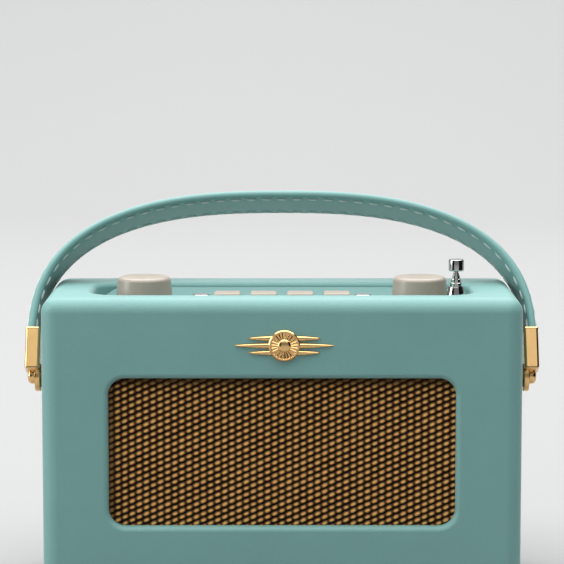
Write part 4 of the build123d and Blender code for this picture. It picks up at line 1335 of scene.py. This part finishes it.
@dataclass
class Handle:
    """The padded strap, its stitches and its two metal end clips."""

    pivot_z: float = 112.0
    lean: float = 26.0
    width: float = 27.0
    thick: float = 4.2
    half: float = 137.3
    leg: float = 15.3
    arch: float = 87.6
    power: float = 2.6
    start: float = 9.0
    seam: float = 9.5
    stitch_pitch: float = 8.3
    stitch: float = 6.1
    clip_start: float = 0.0
    clip_end: float = 23.0
    rivet_up: float = 17.0
    head_clear: float = 5.3
    clip_inner: float = 130.3
    clip_wall: float = 0.9
    eye: float = 8.5
    eye_plate: float = 3.0
    clip_sharp: float = 38.0
    station: float = 1.45
    path: list[tuple[Vector, Vector]] = field(default_factory=list)

    def build(self) -> None:
        """Make and mount the whole handle."""
        self.path = self.centreline()
        self.strap()
        self.stitches()
        for side, name in ((-1, "left"), (1, "right")):
            self.clip(side, name)
        self.rivets()
        self.pivots()

    def frame_of(self) -> Matrix:
        """The leaning frame: x along X, y up the strap, z across its width towards the front."""
        lean = Matrix.Rotation(math.radians(90 - self.lean), 4, "X")
        return Matrix.Translation((0, 0, self.pivot_z)) @ lean

    def centreline(self) -> list[tuple[Vector, Vector]]:
        """Points down the middle of the strap, each with its outward direction.

        Returns:
            The points and directions, from the right clip over the arch to the left one.
        """
        inset = self.thick / 2
        half, arch = self.half - inset, self.arch - inset
        fine = []
        for step in range(2001):
            turn = math.pi * step / 2000
            across = abs(math.cos(turn)) ** (2 / self.power) * math.copysign(1, math.cos(turn))
            up = math.sin(turn) ** (2 / self.power)
            fine.append(Vector((half * across, self.leg + arch * up, 0)))
        legs = 8
        gap = (self.leg - self.start) / legs
        right = [Vector((half, self.start + gap * step, 0)) for step in range(legs)]
        left = [Vector((-point.x, point.y, 0)) for point in reversed(right)]
        return spaced(right + fine + left, self.station)

    def at(self, index: int, across: float, out: float) -> Vector:
        """A point on the strap, from its station and its offsets across the width and outwards."""
        centre, outward = self.path[index]
        return centre + outward * out + Vector((0, 0, across))

    def section(self, along: float) -> list[tuple[float, float]]:
        """The strap's cross-section, with rolled edges and a sunk seam.

        Args:
            along: Distance along the strap, which times the puckers.

        Returns:
            Offsets across and outwards, round the section.
        """
        edge = self.thick / 2
        flat = self.width / 2 - edge
        pucker = 0.09 * math.cos(2 * math.pi * along / self.stitch_pitch)
        points = []
        for side in (1, -1):
            for step in range(17):
                across = side * (flat - 2 * flat * step / 16)
                seam = math.exp(-(((abs(across) - self.seam) / 0.75) ** 2))
                pad = 0.32 * (1 - (across / flat) ** 4) - 0.15
                points.append((across, side * (edge + pad - (0.26 + pucker) * seam)))
            for turn in arc(12, 168, 8):
                points.append((-side * (flat + edge * math.sin(turn)), side * edge * math.cos(turn)))
        return points

    def strap(self) -> None:
        """The strap's body, from one clip over the arch to the other."""
        rings = []
        for index in range(len(self.path)):
            section = self.section(index * self.station)
            rings.append([self.at(index, across, out) for across, out in section])
        mesh = bmesh.new()
        skin(mesh, rings, self.frame_of())
        piece = finish_mesh("strap_body", mesh, Tone.STRAP, 60.0)
        mount(piece, "handle", ["handle_strap"])

    def stitches(self) -> None:
        """Four seams, two on the outside and two on the inside of the strap."""
        first = round((self.clip_end - self.start) / self.station) + 2
        leaning = self.frame_of()
        stations = range(first, len(self.path) - first)
        rows = []
        for out in (1, -1):
            for side in (1, -1):
                height = out * (self.thick / 2 + 0.12)
                rows.append([leaning @ self.at(index, side * self.seam, height) for index in stations])
        piece = stitch_rows("strap_stitches", rows, self.stitch_pitch, self.stitch, 1.3)
        mount(piece, "handle")

    def clip(self, side: int, name: str) -> None:
        """One end clip: a sleeve with a rolled lip, and a neck with the eye that the pivot screw holds.

        Args:
            side: -1 for left, 1 for right.
            name: The side's name.
        """
        outer = self.half + self.clip_wall
        middle = (outer + self.clip_inner) / 2
        thick = outer - self.clip_inner
        wide = self.width + 2 * self.clip_wall
        place = self.frame_of() @ Matrix.Translation((side * middle, 0, 0)) @ FACING_UP_STRAP
        mesh = bmesh.new()
        strap_x = side * (self.half - self.thick / 2 - middle)
        levels = [(2.0, 0.0), (0.7, 0.25), (0.0, 1.1)]
        rings = [
            rounded_ring(thick - inset, wide - inset, 1.5, self.clip_start + up, 7) for inset, up in levels
        ]
        rings += [
            rounded_ring(thick - inset, wide - inset, 1.5, self.clip_end - down, 7)
            for inset, down in ((0.0, 1.2), (-0.35, 0.9), (-0.35, 0.4), (0.1, 0.0))
        ]
        for drop, spare in ((0.0, 0.7), (2.0, 0.5)):
            inner = rounded_ring(self.thick + spare, self.width + spare, 2.2, self.clip_end - drop, 7)
            rings.append([point + Vector((strap_x, 0, 0)) for point in inner])
        skin(mesh, rings, place)
        self.neck(mesh, side)
        piece = finish_mesh(f"clip_{name}_sleeve", mesh, Tone.GOLD, self.clip_sharp)
        self.pocket(piece, side)
        mount(piece, "handle", [f"handle_clip_{name}"])

    def pocket(self, piece: bpy.types.Object, side: int) -> None:
        """Cut the round pocket in the sleeve's foot where the pivot screw's head turns.

        Args:
            piece: The clip.
            side: -1 for left, 1 for right.
        """
        mesh = bmesh.new()
        facing = FACING_RIGHT if side > 0 else FACING_LEFT
        floor = self.clip_inner + self.eye_plate
        spot = Matrix.Translation((side * floor, 0, self.pivot_z))
        skin(mesh, [circle_ring(self.head_clear, height, 64) for height in (0.0, 9.0)], spot @ facing)
        carve(piece, finish_mesh("pocket_tool", mesh, Tone.GOLD), mends_itself=True)
        piece.data.set_sharp_from_angle(angle=math.radians(self.clip_sharp))
        level(piece)

    def neck(self, mesh: bmesh.types.BMesh, side: int) -> None:
        """The flat eye round the pivot and the neck that joins it to the sleeve.

        Args:
            mesh: The mesh to add to.
            side: -1 for left, 1 for right.
        """
        half = self.width / 2 + self.clip_wall
        outline = [(self.eye * math.cos(turn), self.eye * math.sin(turn)) for turn in arc(180, 360, 25)]
        rise = self.clip_start + 1.5
        outline += [(self.eye + 1.4, 0.4), (half - 2.6, rise - 1.0), (half - 0.5, rise)]
        outline += [(-across, up) for across, up in reversed(outline[-3:])]
        rings = []
        for inset, out in ((0.5, 0.0), (0.0, 0.5), (0.0, self.eye_plate - 0.5), (0.5, self.eye_plate)):
            shrink = 1 - inset / half
            x = side * (self.clip_inner + out)
            rings.append([Vector((x, up * shrink, across * shrink)) for across, up in outline])
        skin(mesh, rings, self.frame_of())

    def rivets(self) -> None:
        """A domed rivet through each sleeve."""
        mesh = bmesh.new()
        outer = self.half + self.clip_wall
        profile = [(1.5, -3.0), (3.0, 0.0), (3.0, 0.15)]
        profile += [(3.0 * math.cos(turn), 0.15 + 0.65 * math.sin(turn)) for turn in arc(10, 86, 7)]
        for side, facing in ((-1, FACING_LEFT), (1, FACING_RIGHT)):
            spot = Matrix.Translation((side * outer, self.rivet_up, 0))
            skin(mesh, [circle_ring(r, h, 48) for r, h in profile], self.frame_of() @ spot @ facing)
        mount(finish_mesh("clip_rivet_heads", mesh, Tone.GOLD), "handle", ["clip_rivets"])

    def pivots(self) -> None:
        """The two domed pivot screws, which stay on the cabinet."""
        mesh = bmesh.new()
        face = self.clip_inner + self.eye_plate + 0.2
        profile = [(2.4, -15.0), (2.4, 0.0), (4.2, 0.0), (4.5, 0.3), (4.5, 1.4)]
        profile += [(2.4 + 2.1 * math.cos(turn), 1.4 + 2.5 * math.sin(turn)) for turn in arc(8, 86, 8)]
        profile += [(1.6, 3.92), (1.5, 3.3), (0.3, 3.2)]
        for side, facing in ((-1, FACING_LEFT), (1, FACING_RIGHT)):
            spot = Matrix.Translation((side * face, 0, self.pivot_z))
            skin(mesh, [circle_ring(r, h, 64) for r, h in profile], spot @ facing)
        mount(finish_mesh("pivot_screw_heads", mesh, Tone.GOLD), "cabinet", ["pivot_screws"])


# ------------------------------------------------------------------ plain parts and studio


DRESS: dict[Tone, tuple[str, ...]] = {
    Tone.BOARD: ("cabinet_box", "speaker_baffle", "rear_battens"),
    Tone.STEEL: (
        "foot_screws",
        "speaker_screws",
        "deck_screws",
        "volume_encoder",
        "tuning_encoder",
        "encoder_nuts",
        "volume_shaft",
        "tuning_shaft",
        "board_screws",
        "battery_contacts",
        "pivot_inserts",
        "aerial_foot",
    ),
    Tone.BLACK: (
        "display_module",
        "key_switches",
        "tuning_plunger",
        "aerial_guide",
        "battery_holder",
        "main_board_parts",
        "speaker_basket",
    ),
    Tone.RUBBER: ("speaker_surround",),
    Tone.IRON: ("speaker_magnet",),
    Tone.PAPER: ("speaker_cone",),
    Tone.LAMINATE: ("control_board", "main_board"),
    Tone.JACKET: ("battery_cells",),
    Tone.NYLON: ("pivot_spacers",),
}


def dress_frame() -> None:
    """Give the frame's remaining nodes their finishes."""
    for tone, nodes in DRESS.items():
        for node in nodes:
            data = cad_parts[node].data
            data.materials.clear()
            data.materials.append(tone.material)


@dataclass
class Studio:
    """The pale sweep, the soft lights, the black cards and the camera, in metres."""

    distance: float = 1.372
    camera_z: float = 0.320
    pitch: float = 6.53
    lens: float = 163.45
    sweep_half: float = 5.0
    sweep_front: float = -4.0
    wall_foot: float = 2.2
    wall_curve: float = 1.2
    wall_top: float = 5.0

    def build(self) -> None:
        """Lay the sweep, hang the lights and aim the camera."""
        self.sweep()
        self.lights()
        self.flag("right_flag", (0.62, -0.75), (0.85, 0.25), 0.8)
        self.flag("left_flag", (-0.42, -0.85), (-0.78, -0.42), 0.5)
        data = bpy.data.cameras.new("camera")
        data.lens = self.lens
        data.sensor_width = 36.0
        data.clip_end = 50.0
        camera = bpy.data.objects.new("camera", data)
        camera.location = (0.0, -self.distance, self.camera_z)
        camera.rotation_euler = (math.radians(90 - self.pitch), 0.0, 0.0)
        bpy.context.scene.collection.objects.link(camera)
        bpy.context.scene.camera = camera

    def sweep(self) -> None:
        """A wide floor that curves up into a wall."""
        mesh = bmesh.new()
        foot, curve = self.wall_foot, self.wall_curve
        profile = [(self.sweep_front, 0.0), (foot, 0.0)]
        profile += [(foot + curve * math.sin(turn), curve * (1 - math.cos(turn))) for turn in arc(6, 90, 12)]
        profile += [(foot + curve, self.wall_top)]
        sides = (-self.sweep_half, self.sweep_half)
        rows = [[mesh.verts.new((x, y, z)) for x in sides] for y, z in profile]
        for lower, upper in zip(rows, rows[1:]):
            mesh.faces.new((lower[0], lower[1], upper[1], upper[0]))
        data = bpy.data.meshes.new("sweep")
        mesh.to_mesh(data)
        mesh.free()
        data.shade_smooth()
        paper = bpy.data.materials.new("sweep paper")
        Graph(paper).vary(Base_Color=(0.333, 0.333, 0.333), Roughness=0.9, Specular_IOR_Level=0.1)
        data.materials.append(paper)
        floor = bpy.data.objects.new("sweep", data)
        bpy.context.scene.collection.objects.link(floor)

    def flag(
        self, name: str, start: tuple[float, float], end: tuple[float, float], height: float
    ) -> None:
        """Stand a black card on the floor that shows only in the metal's reflections.

        Args:
            name: The card's name.
            start: One end of its foot.
            end: The other end of its foot.
            height: Its height.
        """
        data = bpy.data.meshes.new(name)
        corners = [(*start, 0.0), (*end, 0.0), (*end, height), (*start, height)]
        data.from_pydata(corners, [], [(0, 1, 2, 3)])
        felt = bpy.data.materials.get("black felt") or bpy.data.materials.new("black felt")
        Graph(felt).vary(Base_Color=(0.01, 0.01, 0.01), Roughness=1.0, Specular_IOR_Level=0.0)
        data.materials.append(felt)
        card = bpy.data.objects.new(name, data)
        card.visible_camera = False
        bpy.context.scene.collection.objects.link(card)

    def lights(self) -> None:
        """A broad overhead softbox, weak fills from the front and the left, and an even surround."""
        world = bpy.data.worlds.new("studio")
        world.use_nodes = True
        surround = world.node_tree.nodes["Background"]
        surround.inputs["Color"].default_value = (0.95, 0.97, 1.0, 1.0)
        surround.inputs["Strength"].default_value = 0.30
        bpy.context.scene.world = world
        self.softbox("overhead", (0.0, 1.2, 2.4), (0.0, 1.2, 0.0), (4.0, 5.5), 275.0)
        self.softbox("front top", (0.0, -1.9, 1.95), (0.0, 0.0, 0.1), (3.2, 1.6), 11.0)
        self.softbox("left side", (-2.2, -0.4, 0.7), (0.0, 0.0, 0.1), (1.0, 1.4), 24.0)

    def softbox(
        self, name: str, spot: Point, target: Point, size: tuple[float, float], power: float
    ) -> None:
        """Hang one rectangular soft light.

        Args:
            name: The light's name.
            spot: Where it hangs.
            target: What it faces.
            size: Its width and height.
            power: Its power in watts.
        """
        data = bpy.data.lights.new(name, "AREA")
        data.shape = "RECTANGLE"
        data.size, data.size_y = size
        data.energy = power
        lamp = bpy.data.objects.new(name, data)
        lamp.location = spot
        aim = Vector(target) - Vector(spot)
        lamp.rotation_euler = aim.to_track_quat("-Z", "Y").to_euler()
        bpy.context.scene.collection.objects.link(lamp)


def main() -> None:
    """Build every sub-assembly in order."""
    logging.basicConfig(level=logging.INFO, format="%(name)s: %(message)s")
    bpy.context.scene.view_settings.view_transform = "Standard"
    Studio().build()
    Cabinet().build()
    Controls().build()
    Aerial().build()
    Handle().build()
    dress_frame()


if __name__ == "__main__":
    main()
